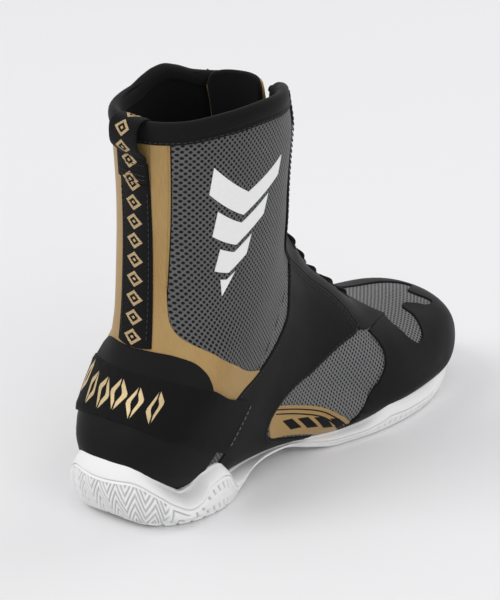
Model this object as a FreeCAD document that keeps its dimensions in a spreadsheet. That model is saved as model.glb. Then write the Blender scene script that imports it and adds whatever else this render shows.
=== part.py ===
"""Boxing boot, left foot: a parametric assembly of separate pieces.

Frame: millimetres, +Z up, +Y from heel to toe, +X to the medial side (the side
that faces the other foot). The origin is under the middle of the boot, on the
ground.

The upper is described by one form surface, the outer face of its base cloth. It
is a bent tube: station 0 is the toe, station 10 runs from the instep to the heel
and station 16 is the collar. A place on it is (station, angle): angle 0 is the
top or front, 180 is the bottom or back, positive angles are medial. Every cloth
piece is a layer between two offsets from that surface.
"""
import FreeCAD, Part
import Sketcher
import math
import os
from FreeCAD import Vector

# ------------------------------------------------------------ driving sizes
SIZES = [
    ("boot_length", 288.0, "heel to toe, over the sole"),
    ("pattern_length", 279.0, "length that the pattern tables are drawn for"),
    ("sole_blank_height", 46.0, "height of the blank that the cup sole is cut from"),
    ("sole_floor", 3.6, "rubber under the foam inserts"),
    ("cup_clearance", 1.4, "room between base cloth and cup sole, for overlays"),
    ("cloth_thickness", 1.0, "base mesh"),
    ("overlay_gap", 0.2, "glue line under an overlay"),
    ("overlay_thickness", 0.9, "microfibre overlays"),
    ("panel_thickness", 0.6, "thin printed or woven panels"),
    ("emblem_thickness", 0.35, "transfer film"),
    ("band_thickness", 1.5, "elastic heel band"),
    ("webbing_width", 20.6, "back strap and pull loop"),
    ("webbing_thickness", 1.2, "back strap and pull loop"),
    ("lining_thickness", 0.8, "foot and shaft lining"),
    ("foam_thickness", 2.3, "collar pads"),
    ("counter_thickness", 1.4, "heel counter"),
    ("sockliner_thickness", 2.3, "removable insole"),
    ("insert_thickness", 1.5, "shank and cushions over the board"),
    ("throat_angle", 13.0, "half the lacing gap, degrees"),
    ("tongue_angle", 34.0, "half the tongue, degrees"),
    ("tongue_depth", 5.5, "form surface down to the tongue's face"),
    ("tongue_lean", 17.0, "turn of the tongue's top to the lateral side, degrees"),
    ("eyelet_outer", 7.0, "eyelet flange diameter"),
    ("eyelet_bore", 3.8, "eyelet bore diameter"),
    ("eyelet_flange", 0.8, "eyelet flange thickness"),
    ("eyelet_angle", 20.0, "eyelet row from the front, degrees"),
    ("lace_diameter", 2.6, "round lace"),
    ("heel_insert_length", 56.0, "foam under the heel"),
    ("heel_insert_width", 46.0, "foam under the heel"),
    ("fore_insert_length", 84.0, "foam under the ball"),
    ("fore_insert_width", 62.0, "foam under the ball"),
    ("insert_height", 13.0, "block that a foam insert is cut from"),
    ("insert_fit", 0.12, "gap round a foam insert"),
]

doc = FreeCAD.newDocument("BoxingBoot")
sheet = doc.addObject("Spreadsheet::Sheet", "Sizes")
for row, (alias, value, note) in enumerate(SIZES, start=1):
    sheet.set("A%d" % row, alias)
    sheet.set("B%d" % row, str(value))
    sheet.set("C%d" % row, note)
    sheet.setAlias("B%d" % row, alias)
doc.recompute()


def size(alias):
    """A driving size, read from the sheet."""
    return float(sheet.get(alias))


SCALE = size("boot_length") / size("pattern_length")
HALF_PATTERN = size("pattern_length") / 2
SIDE_SHIFT = 2.5
SUBPARTS = []

# ------------------------------------------------------------ form surface
# back or bottom point (length, height), front or top point (length, height),
# medial and lateral half widths, side shift, height share of the widest line,
# and how square the bottom and the top of the section are
STATIONS = [
    (271, 25, 271, 29, 1, 1, 4, .50, 2.0, 2.0),
    (268, 17, 266, 40, 20, 19, 4, .45, 2.4, 2.1),
    (258, 13, 254, 49, 32, 31, 3, .35, 3.0, 2.2),
    (242, 10, 236, 54, 40, 40, 2, .30, 4.0, 2.1),
    (221, 9, 216, 57, 44, 46, 1, .28, 4.5, 2.0),
    (197, 8, 193, 64, 46, 48, 0, .28, 4.5, 2.0),
    (170, 9, 176, 76, 43, 46, 0, .30, 5.0, 2.0),
    (140, 12, 165, 91, 37, 42, 0, .35, 5.5, 2.0),
    (102, 13, 153, 101, 33, 38, 0, .40, 5.5, 2.0),
    (62, 11, 144, 111, 34, 37, 0, .42, 4.5, 2.0),
    (26, 14, 135.5, 121, 37, 38, 0, .45, 3.2, 2.0),
    (4, 36, 131.5, 132, 39, 36, 0, .48, 2.6, 2.0),
    (19, 66, 131, 147, 38, 31, 0, .50, 2.2, 2.0),
    (30, 92, 131, 160, 38, 34.5, 0, .50, 2.1, 2.0),
    (34, 120, 131, 173, 39, 37, 0, .50, 2.05, 2.0),
    (36, 156, 131, 188, 41, 39, 0, .50, 2.0, 2.0),
    (35, 199, 132, 203, 43, 43, 0, .50, 2.0, 2.0),
]
COLLAR = len(STATIONS) - 1


def natural_spline(values):
    """A smooth function through values at 0, 1, 2 and so on."""
    count = len(values)
    slope = [0.0] * count
    lead = [0.0] * count
    for i in range(1, count - 1):
        pull = 3 * (values[i + 1] - 2 * values[i] + values[i - 1])
        weight = 4 - lead[i - 1]
        lead[i] = 1 / weight
        slope[i] = (pull - slope[i - 1]) / weight
    bend = [0.0] * count
    for i in range(count - 2, -1, -1):
        bend[i] = slope[i] - lead[i] * bend[i + 1]

    def value(x):
        i = min(max(int(x), 0), count - 2)
        t = x - i
        first = values[i + 1] - values[i] - (bend[i + 1] + 2 * bend[i]) / 3
        third = (bend[i + 1] - bend[i]) / 3
        return values[i] + first * t + bend[i] * t * t + third * t ** 3

    return value


COLUMNS = [natural_spline([float(s[k]) for s in STATIONS]) for k in range(10)]


def place(side, along, height):
    """Pattern coordinates to the boot's own frame."""
    return Vector((side + SIDE_SHIFT) * SCALE, (along - HALF_PATTERN) * SCALE,
                  height * SCALE)


def section(station, angle):
    """Point and centre of the form surface's section."""
    (back, low, front, high, medial, lateral,
     shift, widest, square_low, square_top) = [f(station) for f in COLUMNS]
    turn = math.radians(angle)
    up = math.cos(turn)
    out = math.sin(turn)
    power = square_top if up >= 0 else square_low
    reach = (abs(up) ** power + abs(out) ** power) ** (-1 / power)
    width = medial if out >= 0 else lateral
    share = widest + ((1 - widest) if up >= 0 else widest) * reach * up
    point = place(shift + width * reach * out,
                  back + (front - back) * share, low + (high - low) * share)
    centre = place(shift, back + (front - back) * widest, low + (high - low) * widest)
    return point, centre


def form(station, angle, offset=0.0):
    """Point at an offset outward from the form surface."""
    point, centre = section(station, angle)
    if offset == 0:
        return point
    step = 0.02
    turn = 0.6
    along = section(station + step, angle)[0] - section(max(station - step, 0.01), angle)[0]
    around = section(station, angle + turn)[0] - section(station, angle - turn)[0]
    normal = along.cross(around)
    normal.normalize()
    if normal.dot(point - centre) < 0:
        normal = normal * -1
    return point + normal * offset


# ------------------------------------------------------------ building tools
def add_feature(label, shape):
    """A sub-part whose shape is computed."""
    item = doc.addObject("Part::Feature", label)
    item.Shape = shape
    item.Label = label
    SUBPARTS.append(item)
    return item


def solid_from(faces):
    """One valid solid from faces that meet edge to edge."""
    shell = Part.makeShell(faces)
    shell.sewShape(0.01)
    solid = Part.makeSolid(shell)
    if solid.Volume < 0:
        solid = Part.makeSolid(shell.reversed())
    return solid


def run_of(edge):
    """Rough lengths of a chain's spans, from its stations and angles."""
    return [math.hypot(14.0 * (b[0] - a[0]), 0.7 * (b[1] - a[1])) for a, b in zip(edge, edge[1:])]


def knots_of(edge_a, edge_b):
    """Shares of the way along at which both chains pass their own points."""
    runs = [a + b for a, b in zip(run_of(edge_a), run_of(edge_b))]
    total = sum(runs)
    return [sum(runs[:i]) / total for i in range(len(runs) + 1)]


def at_share(edge, knots, share):
    """Point on a chain of (station, angle) points, by share of the way along."""
    i = 0
    while i < len(knots) - 2 and share > knots[i + 1]:
        i += 1
    t = (share - knots[i]) / (knots[i + 1] - knots[i])
    return tuple(edge[i][k] + (edge[i + 1][k] - edge[i][k]) * t for k in (0, 1))


def grid(edge_a, edge_b, offset, rows, columns):
    """Points of a layer face: rows along the edges, columns from a to b."""
    knots = knots_of(edge_a, edge_b)
    net = []
    for i in range(rows + 1):
        start = at_share(edge_a, knots, i / rows)
        end = at_share(edge_b, knots, i / rows)
        line = []
        for j in range(columns + 1):
            t = j / columns
            station = start[0] + (end[0] - start[0]) * t
            angle = start[1] + (end[1] - start[1]) * t
            line.append(form(station, angle, offset))
        net.append(line)
    return net


def layer(edge_a, edge_b, inner, outer, pitch=3.2):
    """Solid of a cloth layer between two edges and two offsets."""
    long_way = grid(edge_a, edge_b, 0, 12, 1)
    length = sum((long_way[i + 1][0] - long_way[i][0]).Length for i in range(12))
    length = max(length, sum((long_way[i + 1][1] - long_way[i][1]).Length for i in range(12)))
    middle = grid(edge_a, edge_b, 0, 2, 12)[1]
    width = sum((middle[j + 1] - middle[j]).Length for j in range(12))
    rows = max(5, int(length / pitch), 2 * (len(edge_a) - 1))
    columns = max(4, int(width / pitch))
    surfaces = []
    for offset in (inner, outer):
        surface = Part.BSplineSurface()
        surface.interpolate(grid(edge_a, edge_b, offset, rows, columns))
        surfaces.append(surface)
    low, high = surfaces
    faces = [low.toShape(), high.toShape()]
    u0, u1, v0, v1 = low.bounds()
    for near, far in ((low.uIso(u0), high.uIso(u0)), (low.uIso(u1), high.uIso(u1)),
                      (low.vIso(v0), high.vIso(v0)), (low.vIso(v1), high.vIso(v1))):
        faces.append(Part.makeRuledSurface(near.toShape(), far.toShape()))
    return solid_from(faces)


def mirrored(edge):
    """The same edge on the lateral side."""
    return [(station, -angle) for station, angle in edge]


def around_back(edge):
    """A medial edge that ends at 180, carried on round to the lateral side."""
    return edge + [(station, 360 - angle) for station, angle in reversed(edge[:-1])]


def paired(name, edge_a, edge_b, inner, outer):
    """A medial piece and its lateral mirror, as two sub-parts."""
    add_feature(name + "_medial", layer(edge_a, edge_b, inner, outer))
    add_feature(name + "_lateral", layer(mirrored(edge_a), mirrored(edge_b), inner, outer))


def spline_edge(points):
    """Smooth edge through points."""
    curve = Part.BSplineCurve()
    curve.interpolate(points)
    return curve.toShape()


# ------------------------------------------------------------ sole
# (length, medial half width, lateral half width) of the sole's plan
PLAN = [
    (0, 0, 0), (3, 15, 15), (12, 27, 28), (28, 37, 39), (50, 39, 42), (70, 35, 42),
    (90, 30, 41), (115, 30, 42), (145, 39, 48), (170, 46, 52), (195, 48.5, 53),
    (218, 47, 51), (238, 42, 45), (255, 33, 35), (268, 22, 23), (276, 11, 11), (279, 0, 0),
]
# top edge of the cup wall (length, height): a deep scallop behind a lobe at the
# heel, a thin strip at the arch, a low wall round the ball and a toe bumper
WALL_TOP_MEDIAL = [
    (-2, 36.5), (3, 35.5), (12, 27), (20, 19.5), (28, 15.5), (34, 17), (40, 23.5), (50, 25.5),
    (60, 22.5), (70, 18), (80, 15.5), (90, 14), (110, 13), (130, 10.5), (145, 8.5),
    (160, 8.5), (172, 11), (182, 13.5), (195, 12.5), (218, 12), (238, 15), (255, 20),
    (268, 26), (276, 30), (282, 32),
]
WALL_TOP_LATERAL = [
    (-2, 36.5), (3, 35.5), (12, 27), (20, 19.5), (28, 15.5), (34, 17), (40, 23.5), (50, 25.5),
    (60, 25), (70, 22), (80, 19), (90, 17.5), (110, 17), (130, 15.5), (145, 13.5),
    (160, 13), (172, 14), (182, 15), (195, 13), (218, 12), (238, 15), (255, 20),
    (268, 26), (276, 30), (282, 32),
]


def plan_points(side):
    """One side of the sole's plan, as points on the ground."""
    if side > 0:
        return [place(row[1], row[0], 0) for row in PLAN]
    return [place(-row[2], row[0], 0) for row in PLAN]


def sole_blank():
    """Body with the sole's plan, padded to the blank's height."""
    body = doc.addObject("PartDesign::Body", "SoleBlank")
    sketch = body.newObject("Sketcher::SketchObject", "SolePlan")
    ground = [f for f in body.Origin.OriginFeatures if f.Role == "XY_Plane"][0]
    sketch.AttachmentSupport = (ground, [""])
    sketch.MapMode = "FlatFace"
    for points in (plan_points(1), plan_points(-1)):
        curve = Part.BSplineCurve()
        curve.interpolate(points)
        sketch.addGeometry(curve, False)
    pad = body.newObject("PartDesign::Pad", "SolePad")
    pad.Profile = sketch
    pad.setExpression("Length", "Sizes.sole_blank_height")
    doc.recompute()
    return body


def side_profile(wall_top, inboard, outboard):
    """Solid between the sole's underside and its wall top, over one side."""
    def spot(along, height):
        return place(0, along, height)

    under = [
        spline_edge([spot(-2, 26), spot(3, 11), spot(10, 3), spot(20, 0)]),
        Part.makeLine(spot(20, 0), spot(62, 0)),
        spline_edge([spot(62, 0), spot(72, 3), spot(84, 7), spot(98, 8.5), spot(115, 7.5),
                     spot(132, 3), spot(148, 0)]),
        Part.makeLine(spot(148, 0), spot(216, 0)),
        spline_edge([spot(216, 0), spot(232, 1.5), spot(248, 5.5), spot(264, 12), spot(282, 25)]),
    ]
    front = Part.makeLine(spot(282, 25), spot(*wall_top[-1]))
    top = spline_edge([spot(*p) for p in reversed(wall_top)])
    back = Part.makeLine(spot(*wall_top[0]), spot(-2, 26))
    wire = Part.Wire(under + [front, top, back])
    face = Part.Face(wire)
    face.translate(Vector(inboard, 0, 0))
    return face.extrude(Vector(outboard - inboard, 0, 0))


def form_solid(offset, last):
    """Closed solid of the form surface, grown by an offset, up to a station."""
    stations = [0.2 + 0.25 * i for i in range(7)]
    while stations[-1] < last:
        stations.append(stations[-1] + 0.35)
    ring = list(range(0, 360, 5)) + [0]
    skin = Part.BSplineSurface()
    skin.interpolate([[form(station, angle, offset) for angle in ring] for station in stations])
    first, end = skin.bounds()[:2]
    caps = [Part.makeFilledFace([skin.uIso(u).toShape()]) for u in (first, end)]
    return solid_from([skin.toShape()] + caps)


def insert_block(name, along, side, length_cell, width_cell, grow):
    """Rounded block of a foam insert, as a body with a dimensioned sketch."""
    body = doc.addObject("PartDesign::Body", name)
    sketch = body.newObject("Sketcher::SketchObject", name + "Plan")
    ground = [f for f in body.Origin.OriginFeatures if f.Role == "XY_Plane"][0]
    sketch.AttachmentSupport = (ground, [""])
    sketch.MapMode = "FlatFace"
    centre = place(side, along, 0)
    radius = size(width_cell) / 2 + grow
    straight = (size(length_cell) - size(width_cell)) / 2
    front = centre + Vector(0, straight, 0)
    rear = centre - Vector(0, straight, 0)
    right = Vector(radius, 0, 0)
    circle_front = Part.Circle(front, Vector(0, 0, 1), radius)
    circle_rear = Part.Circle(rear, Vector(0, 0, 1), radius)
    arc_front = sketch.addGeometry(Part.ArcOfCircle(circle_front, 0, math.pi), False)
    line_left = sketch.addGeometry(Part.LineSegment(front - right, rear - right), False)
    arc_rear = sketch.addGeometry(Part.ArcOfCircle(circle_rear, math.pi, 2 * math.pi), False)
    line_right = sketch.addGeometry(Part.LineSegment(rear + right, front + right), False)
    for first, first_end, second, second_end in ((arc_front, 2, line_left, 1),
                                                 (line_left, 2, arc_rear, 1),
                                                 (arc_rear, 2, line_right, 1),
                                                 (line_right, 2, arc_front, 1)):
        sketch.addConstraint(Sketcher.Constraint("Coincident", first, first_end,
                                                 second, second_end))
    sketch.addConstraint(Sketcher.Constraint("Radius", arc_front, radius))
    sketch.setExpression("Constraints[4]", "Sizes.%s / 2 + %s" % (width_cell, grow))
    pad = body.newObject("PartDesign::Pad", name + "Pad")
    pad.Profile = sketch
    pad.setExpression("Length", "Sizes.insert_height + %s" % grow)
    body.Placement.Base = Vector(0, 0, size("sole_floor") - grow)
    doc.recompute()
    return body


def boolean(kind, label, base, tool, keep=False):
    """Cut or common of two objects of the document."""
    item = doc.addObject(kind, label)
    item.Base = base
    item.Tool = tool
    item.Label = label
    doc.recompute()
    if keep:
        SUBPARTS.append(item)
    return item


def build_sole():
    """Cup outsole and the two foam inserts that sit in it."""
    blank = sole_blank()
    reach = size("boot_length") / 3
    middle = SIDE_SHIFT * SCALE
    medial = side_profile(WALL_TOP_MEDIAL, middle, reach)
    lateral = side_profile(WALL_TOP_LATERAL, -reach, middle)
    surround = Part.makeBox(3 * reach, 4 * reach, reach, Vector(-1.5 * reach, -2 * reach, -10))
    waste = doc.addObject("Part::Feature", "SoleWaste")
    waste.Shape = surround.cut(medial.fuse(lateral))
    shell = boolean("Part::Cut", "SoleShell", blank, waste)
    foot = doc.addObject("Part::Feature", "FootRoom")
    foot.Shape = form_solid(size("cup_clearance"), 12.0)
    cup = doc.addObject("Part::Feature", "SoleCup")
    cup.Shape = shell.Shape.cut(foot.Shape)
    places = (("heel", 42, 0.5, "heel_insert_length", "heel_insert_width"),
              ("fore", 203, -1.5, "fore_insert_length", "fore_insert_width"))
    fit = size("insert_fit")
    for name, along, side, long_cell, wide_cell in places:
        room = insert_block(name.title() + "Room", along, side, long_cell, wide_cell, fit)
        cup = boolean("Part::Cut", "SoleWith" + name.title() + "Room", cup, room)
        block = insert_block(name.title() + "Block", along, side, long_cell, wide_cell, 0)
        boolean("Part::Cut", "midsole_" + name, block, foot, True)
    cup.Label = "outsole"
    SUBPARTS.append(cup)


# ------------------------------------------------------------ upper
CLOTH = size("cloth_thickness")
GAP = size("overlay_gap")
OVERLAY = GAP + size("overlay_thickness")
THROAT = size("throat_angle")
TOP = COLLAR - 0.17
TOE = 0.3


def edge_at(angle, stations):
    """Edge along one angle."""
    return [(station, angle) for station in stations]


def build_base_cloth():
    """Mesh vamp, quarters, shaft and woven back panel: the layer under all."""
    add_feature("vamp_mesh", layer(edge_at(-139, (TOE, 5.0)), edge_at(139, (TOE, 5.0)),
                                   -CLOTH, 0, 2.4))
    paired("quarter_mesh", edge_at(THROAT, (5.04, 9.95)), edge_at(139, (5.04, 9.95)), -CLOTH, 0)
    rear = [(10.0, 139), (10.6, 149), (11.2, 157.4), (TOP, 157.4)]
    paired("shaft_mesh", [(10.0, THROAT), (10.6, THROAT), (11.2, THROAT), (TOP, THROAT)], rear,
           -CLOTH, 0)
    add_feature("back_panel", layer(edge_at(158.2, (10.9, TOP)), edge_at(201.8, (10.9, TOP)),
                                    -CLOTH, 0))


def build_overlays():
    """Microfibre overlays, gold panels, heel band, strap and emblems."""
    rear_edge = [(6.25, 122), (6.0, 100), (5.6, 70), (4.1, 54), (3.6, 36), (2.5, 20), (2.0, 0)]
    rear_edge = rear_edge + [(s, -a) for s, a in reversed(rear_edge[:-1])]
    add_feature("toe_overlay", layer([(TOE, a) for s, a in rear_edge], rear_edge, 2 * GAP, OVERLAY,
                                     2.4))

    outer = [(4.9, 43), (5.9, 53), (6.4, 60), (8.0, 49.5), (9.85, 36.5), (11.0, 39), (13.0, 40),
             (TOP, 40)]
    throat = [(max(s, 5.1), THROAT) for s, a in outer]
    paired("eyestay", throat, outer, GAP, OVERLAY)

    front = [(6.5, 62.5), (7.1, 74), (7.7, 88), (8.4, 106), (8.6, 120), (8.7, 134)]
    rear = [(9.95, 38.5), (9.5, 62), (9.9, 84), (10.1, 99), (9.75, 120), (9.6, 134)]
    paired("diagonal_overlay", front, rear, GAP, OVERLAY)

    top = [(11.25, 110.5), (11.8, 119), (12.3, 132), (12.75, 150), (12.95, 166), (13.0, 180)]
    low = [(10.95, 111), (11.5, 123), (11.85, 136), (12.0, 150), (12.1, 166), (12.1, 180)]
    add_feature("heel_collar_overlay", layer(around_back(low), around_back(top), GAP, OVERLAY))

    top = [(10.3, 104), (10.6, 118), (11.2, 132), (11.75, 148), (11.95, 166), (12.0, 180)]
    low = [(9.8, 134.5), (9.9, 138), (10.1, 143), (10.4, 152), (10.75, 166), (10.95, 180)]
    add_feature("heel_lower_overlay", layer(around_back(low), around_back(top), GAP, OVERLAY))

    band_in = OVERLAY + GAP
    band_out = band_in + size("band_thickness")
    top = [(10.2, 99.5), (10.55, 103), (11.15, 111), (11.7, 128), (12.2, 150), (12.3, 163),
           (12.3, 180)]
    low = [(9.9, 121), (10.05, 124), (10.4, 131), (10.9, 139), (11.4, 149), (11.6, 165),
           (11.7, 180)]
    add_feature("heel_band", layer(around_back(low), around_back(top), band_in, band_out))
    bars = []
    for number in range(8):
        angle = 141 + 10 * number
        base = 11.3 + 0.4 * math.cos(math.radians(angle - 180)) ** 8
        bars.append(layer([(base + 0.15, angle - 2.6), (base + 0.48, angle + 0.6)],
                          [(base + 0.15, angle + 2.0), (base + 0.48, angle + 5.2)],
                          band_out + 0.05, band_out + 0.3))
    add_feature("band_bars", Part.makeCompound(bars))

    panel = GAP + size("panel_thickness")
    top = [(13.35, 157.3), (13.2, 150), (12.85, 138), (12.3, 122), (11.7, 109), (10.9, 98),
           (10.35, 90)]
    low = [(13.0, 157.3), (12.88, 151), (12.45, 134), (12.02, 120.5), (11.4, 109), (10.85, 104.5),
           (10.3, 100)]
    paired("gold_flare", low, top, 2 * GAP, panel)
    top = [(8.25, 108), (7.7, 113), (7.0, 121), (6.55, 130)]
    low = [(8.45, 128), (7.9, 131), (7.3, 134), (6.9, 136)]
    paired("arch_panel", low, top, GAP, panel)
    paired("emblem", [(12.5, 92), (15.1, 82)], [(12.5, 108), (15.1, 138)], GAP,
           GAP + size("emblem_thickness"))


def build_strap():
    """Back webbing strap and the pull loop above it."""
    thick = size("webbing_thickness")
    inner = OVERLAY + GAP
    add_feature("back_strap", layer(edge_at(166.5, (12.88, 15.0)), edge_at(193.5, (12.88, 15.0)),
                                    inner, inner + thick))
    # side view of the loop's outer face: up the back, over the collar, inside
    outer = [(31.5, 157), (28.8, 170), (27.0, 184), (27.2, 196), (30.8, 204.5), (37.0, 207),
             (43.4, 205), (46.4, 197), (46.8, 184)]
    spots = [Vector(0, place(0, along, 0).y, height * SCALE) for along, height in outer]
    inside = []
    for i, spot in enumerate(spots):
        ahead = spots[min(i + 1, len(spots) - 1)] - spots[max(i - 1, 0)]
        ahead.normalize()
        inside.append(spot + Vector(0, ahead.z, -ahead.y) * thick)
    rim = Part.Wire([spline_edge(spots), Part.makeLine(spots[-1], inside[-1]),
                     spline_edge(list(reversed(inside))), Part.makeLine(inside[0], spots[0])])
    width = size("webbing_width")
    loop = Part.Face(rim).extrude(Vector(width, 0, 0))
    loop.translate(Vector(SIDE_SHIFT * SCALE - width / 2, 0, 0))
    add_feature("pull_loop", loop)


def build_inside():
    """Board, insole, stiffeners, pads, linings and collar binding."""
    lining = size("lining_thickness")
    stiff_out = -CLOTH - 0.2
    insert = size("insert_thickness")
    board = [(0.3, 141), (5.0, 141), (10.0, 141), (10.5, 150)]
    add_feature("strobel_board", layer(board, [(s, 360 - a) for s, a in board], -CLOTH, 0))
    for name, first, last, angle in (("forefoot_cushion", 1.1, 6.6, 150),
                                     ("shank", 6.75, 9.2, 160), ("heel_cushion", 9.35, 10.25, 152)):
        add_feature(name, layer(edge_at(angle, (first, last)), edge_at(360 - angle, (first, last)),
                                stiff_out - insert, stiff_out))
    top = stiff_out - insert - 0.1
    add_feature("sockliner", layer(edge_at(149, (1.2, 10.25)), edge_at(211, (1.2, 10.25)),
                                   top - size("sockliner_thickness"), top))
    puff = stiff_out - lining
    add_feature("toe_puff", layer(edge_at(-110, (0.6, 2.4)), edge_at(110, (0.6, 2.4)),
                                  puff, stiff_out))
    foot_out = puff - 0.1
    add_feature("toe_lining", layer(edge_at(-143, (0.8, 5.0)), edge_at(143, (0.8, 5.0)),
                                    foot_out - lining, foot_out))
    paired("foot_lining", edge_at(THROAT, (5.04, 9.45)), edge_at(138, (5.04, 9.45)),
           foot_out - lining, foot_out)
    foam = stiff_out - size("foam_thickness")
    upper = [(10.95, 116), (11.5, 124), (12.0, 148), (12.15, 180)]
    lower = [(10.8, 126), (11.05, 136), (11.35, 155), (11.5, 180)]
    add_feature("heel_counter", layer(around_back(lower), around_back(upper),
                                      stiff_out - size("counter_thickness"), stiff_out))
    paired("collar_pad", edge_at(44, (13.0, TOP)), edge_at(150, (13.0, TOP)), foam, stiff_out)
    shaft_out = foam - 0.2
    front = [(9.5, THROAT), (10.2, THROAT), (10.8, THROAT), (11.4, THROAT), (12.2, THROAT),
             (TOP, THROAT)]
    rear = [(9.5, 140), (10.2, 146), (10.8, 158), (11.4, 171), (12.2, 178), (TOP, 178)]
    paired("shaft_lining", front, rear, shaft_out - lining, shaft_out)
    rim = [(16.1, 14), (16.26, 36), (16.34, 60), (16.32, 90), (16.2, 120), (16.1, 150),
           (16.1, 180), (16.06, 210), (16.02, 240), (16.02, 262), (16.12, 275), (16.24, 290),
           (16.12, 305), (16.03, 318), (16.02, 346)]
    seam = [(COLLAR - 0.04, a) for s, a in rim]
    add_feature("collar_binding", layer(seam, rim, shaft_out - lining - 0.4, 0.9))


def tongue_edge(side, last, trim=0.0):
    """Chain up one side of the tongue, which leans to the lateral side at its top."""
    half, lean = size("tongue_angle"), size("tongue_lean")
    edge = []
    for step in range(7):
        station = 5.4 + (last - 5.4) * step / 6
        share = max(0.0, (station - 10) / 6)
        edge.append((station, side * (half - trim - 0.55 * lean * share) - lean * share))
    return edge


def build_tongue():
    """Padded tongue: face cloth, foam, lining, keeper and top binding."""
    face = -size("tongue_depth")
    for name, last, trim, inner, outer in (
            ("tongue_face", 15.8, 0.0, face - 1.0, face),
            ("tongue_foam", 15.7, 1.5, face - 3.6, face - 1.25),
            ("tongue_lining", 15.8, 0.0, face - 4.85, face - 3.9)):
        add_feature(name, layer(tongue_edge(-1, last, trim), tongue_edge(1, last, trim),
                                inner, outer))
    add_feature("lace_keeper", layer(edge_at(-7, (11.85, 12.45)), edge_at(7, (11.85, 12.45)),
                                     face + 0.15, face + 0.9))
    left, right = tongue_edge(-1, 15.84)[-1][1], tongue_edge(1, 15.84)[-1][1]
    add_feature("tongue_binding", layer(edge_at(left, (15.84, 16.06)), edge_at(right, (15.84, 16.06)),
                                        face - 4.8, face))


# ------------------------------------------------------------ lacing
EYELET_STATIONS = (5.6, 6.3, 7.1, 8.05, 9.1, 10.3, 11.4, 12.4, 13.4, 14.4, 15.3)


def eyelet_master():
    """Body of one eyelet flange, turned about its own axis."""
    body = doc.addObject("PartDesign::Body", "EyeletMaster")
    sketch = body.newObject("Sketcher::SketchObject", "EyeletSection")
    upright = [f for f in body.Origin.OriginFeatures if f.Role == "XZ_Plane"][0]
    sketch.AttachmentSupport = (upright, [""])
    sketch.MapMode = "FlatFace"
    bore = size("eyelet_bore") / 2
    rim = size("eyelet_outer") / 2
    flange = size("eyelet_flange")
    corners = [Vector(bore, 0, 0), Vector(rim, 0, 0), Vector(rim, flange / 2, 0),
               Vector(rim - flange / 2, flange, 0), Vector(bore + flange / 2, flange, 0),
               Vector(bore, flange / 2, 0)]
    for i, corner in enumerate(corners):
        sketch.addGeometry(Part.LineSegment(corner, corners[(i + 1) % len(corners)]), False)
    turned = body.newObject("PartDesign::Revolution", "EyeletTurned")
    turned.Profile = sketch
    turned.ReferenceAxis = (sketch, ["V_Axis"])
    turned.Angle = 360
    doc.recompute()
    return body.Shape.copy()


def build_eyelets():
    """Eleven eyelets a side, set square to the eyestay."""
    master = eyelet_master()
    seat = OVERLAY + GAP
    for label, angle in (("eyelets_medial", size("eyelet_angle")),
                         ("eyelets_lateral", -size("eyelet_angle"))):
        rings = []
        for station in EYELET_STATIONS:
            foot = form(station, angle, seat)
            normal = form(station, angle, seat + 1) - foot
            ring = master.copy()
            turn = FreeCAD.Rotation(Vector(0, 0, 1), normal)
            ring.Placement = FreeCAD.Placement(foot, turn)
            rings.append(ring)
        add_feature(label, Part.makeCompound(rings))


def lace_span(start, middle, end):
    """Round bar of lace along one arc."""
    path = Part.Wire(Part.Arc(start, middle, end).toShape())
    tangent = path.Edges[0].tangentAt(path.Edges[0].FirstParameter)
    ring = Part.Wire(Part.makeCircle(size("lace_diameter") / 2, start, tangent))
    return path.makePipeShell([ring], True, False)


def build_lace():
    """Criss-cross spans between the eyelet rows, one over the other."""
    angle = size("eyelet_angle")
    lift = OVERLAY + GAP + size("eyelet_flange") + size("lace_diameter") / 2 + 0.45
    over = size("lace_diameter") + 0.9
    nudge = 0.11
    spans = []
    first = EYELET_STATIONS[0] - 0.22
    spans.append(lace_span(form(first, -angle, lift), form(first, 0, lift + 0.4),
                           form(first, angle, lift)))
    for low, high in zip(EYELET_STATIONS[:-1], EYELET_STATIONS[1:]):
        middle = (low + high) / 2
        spans.append(lace_span(form(low + nudge, -angle, lift), form(middle, 0, lift - 0.6),
                               form(high - nudge, angle, lift)))
        spans.append(lace_span(form(low + nudge, angle, lift), form(middle, 0, lift + over),
                               form(high - nudge, -angle, lift)))
    add_feature("lace", Part.makeCompound(spans))


# ------------------------------------------------------------ build and write
def check_and_write():
    """Stops on a failed object or a bad shape, then writes the parts."""
    doc.recompute()
    for item in doc.Objects:
        if "Invalid" in item.State or "Error" in item.State:
            raise RuntimeError("failed object: " + item.Name)
    bad = [item.Label for item in SUBPARTS
           if item.Shape.isNull() or not item.Shape.isValid() or item.Shape.Volume <= 0]
    if bad:
        raise RuntimeError("bad shapes: " + ", ".join(bad))
    os.makedirs("parts", exist_ok=True)
    for item in SUBPARTS:
        item.Shape.exportStep(os.path.join("parts", item.Label + ".step"))
        box = item.Shape.BoundBox
        print("%-26s solids %2d  volume %9.1f  x %6.1f..%6.1f  y %6.1f..%6.1f  z %5.1f..%5.1f"
              % (item.Label, len(item.Shape.Solids), item.Shape.Volume, box.XMin, box.XMax,
                 box.YMin, box.YMax, box.ZMin, box.ZMax))


build_sole()
build_base_cloth()
build_overlays()
build_strap()
build_inside()
build_tongue()
build_eyelets()
build_lace()
check_and_write()
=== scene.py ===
"""Looks of the boxing boot: cloth, microfibre, webbing, laces and rubber.

The boot's pieces are cut from one form surface, the outer face of its base cloth.
A place on it is (station, angle): station 0 is the toe, 10 runs from the instep to
the heel and 16 is the collar; angle 0 is the top or front, 180 the bottom or back,
and positive angles are medial. Offsets from it are in millimetres.
"""
import math

import bpy
import numpy as np
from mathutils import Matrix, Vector
from mathutils.geometry import delaunay_2d_cdt
from mathutils.kdtree import KDTree


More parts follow.
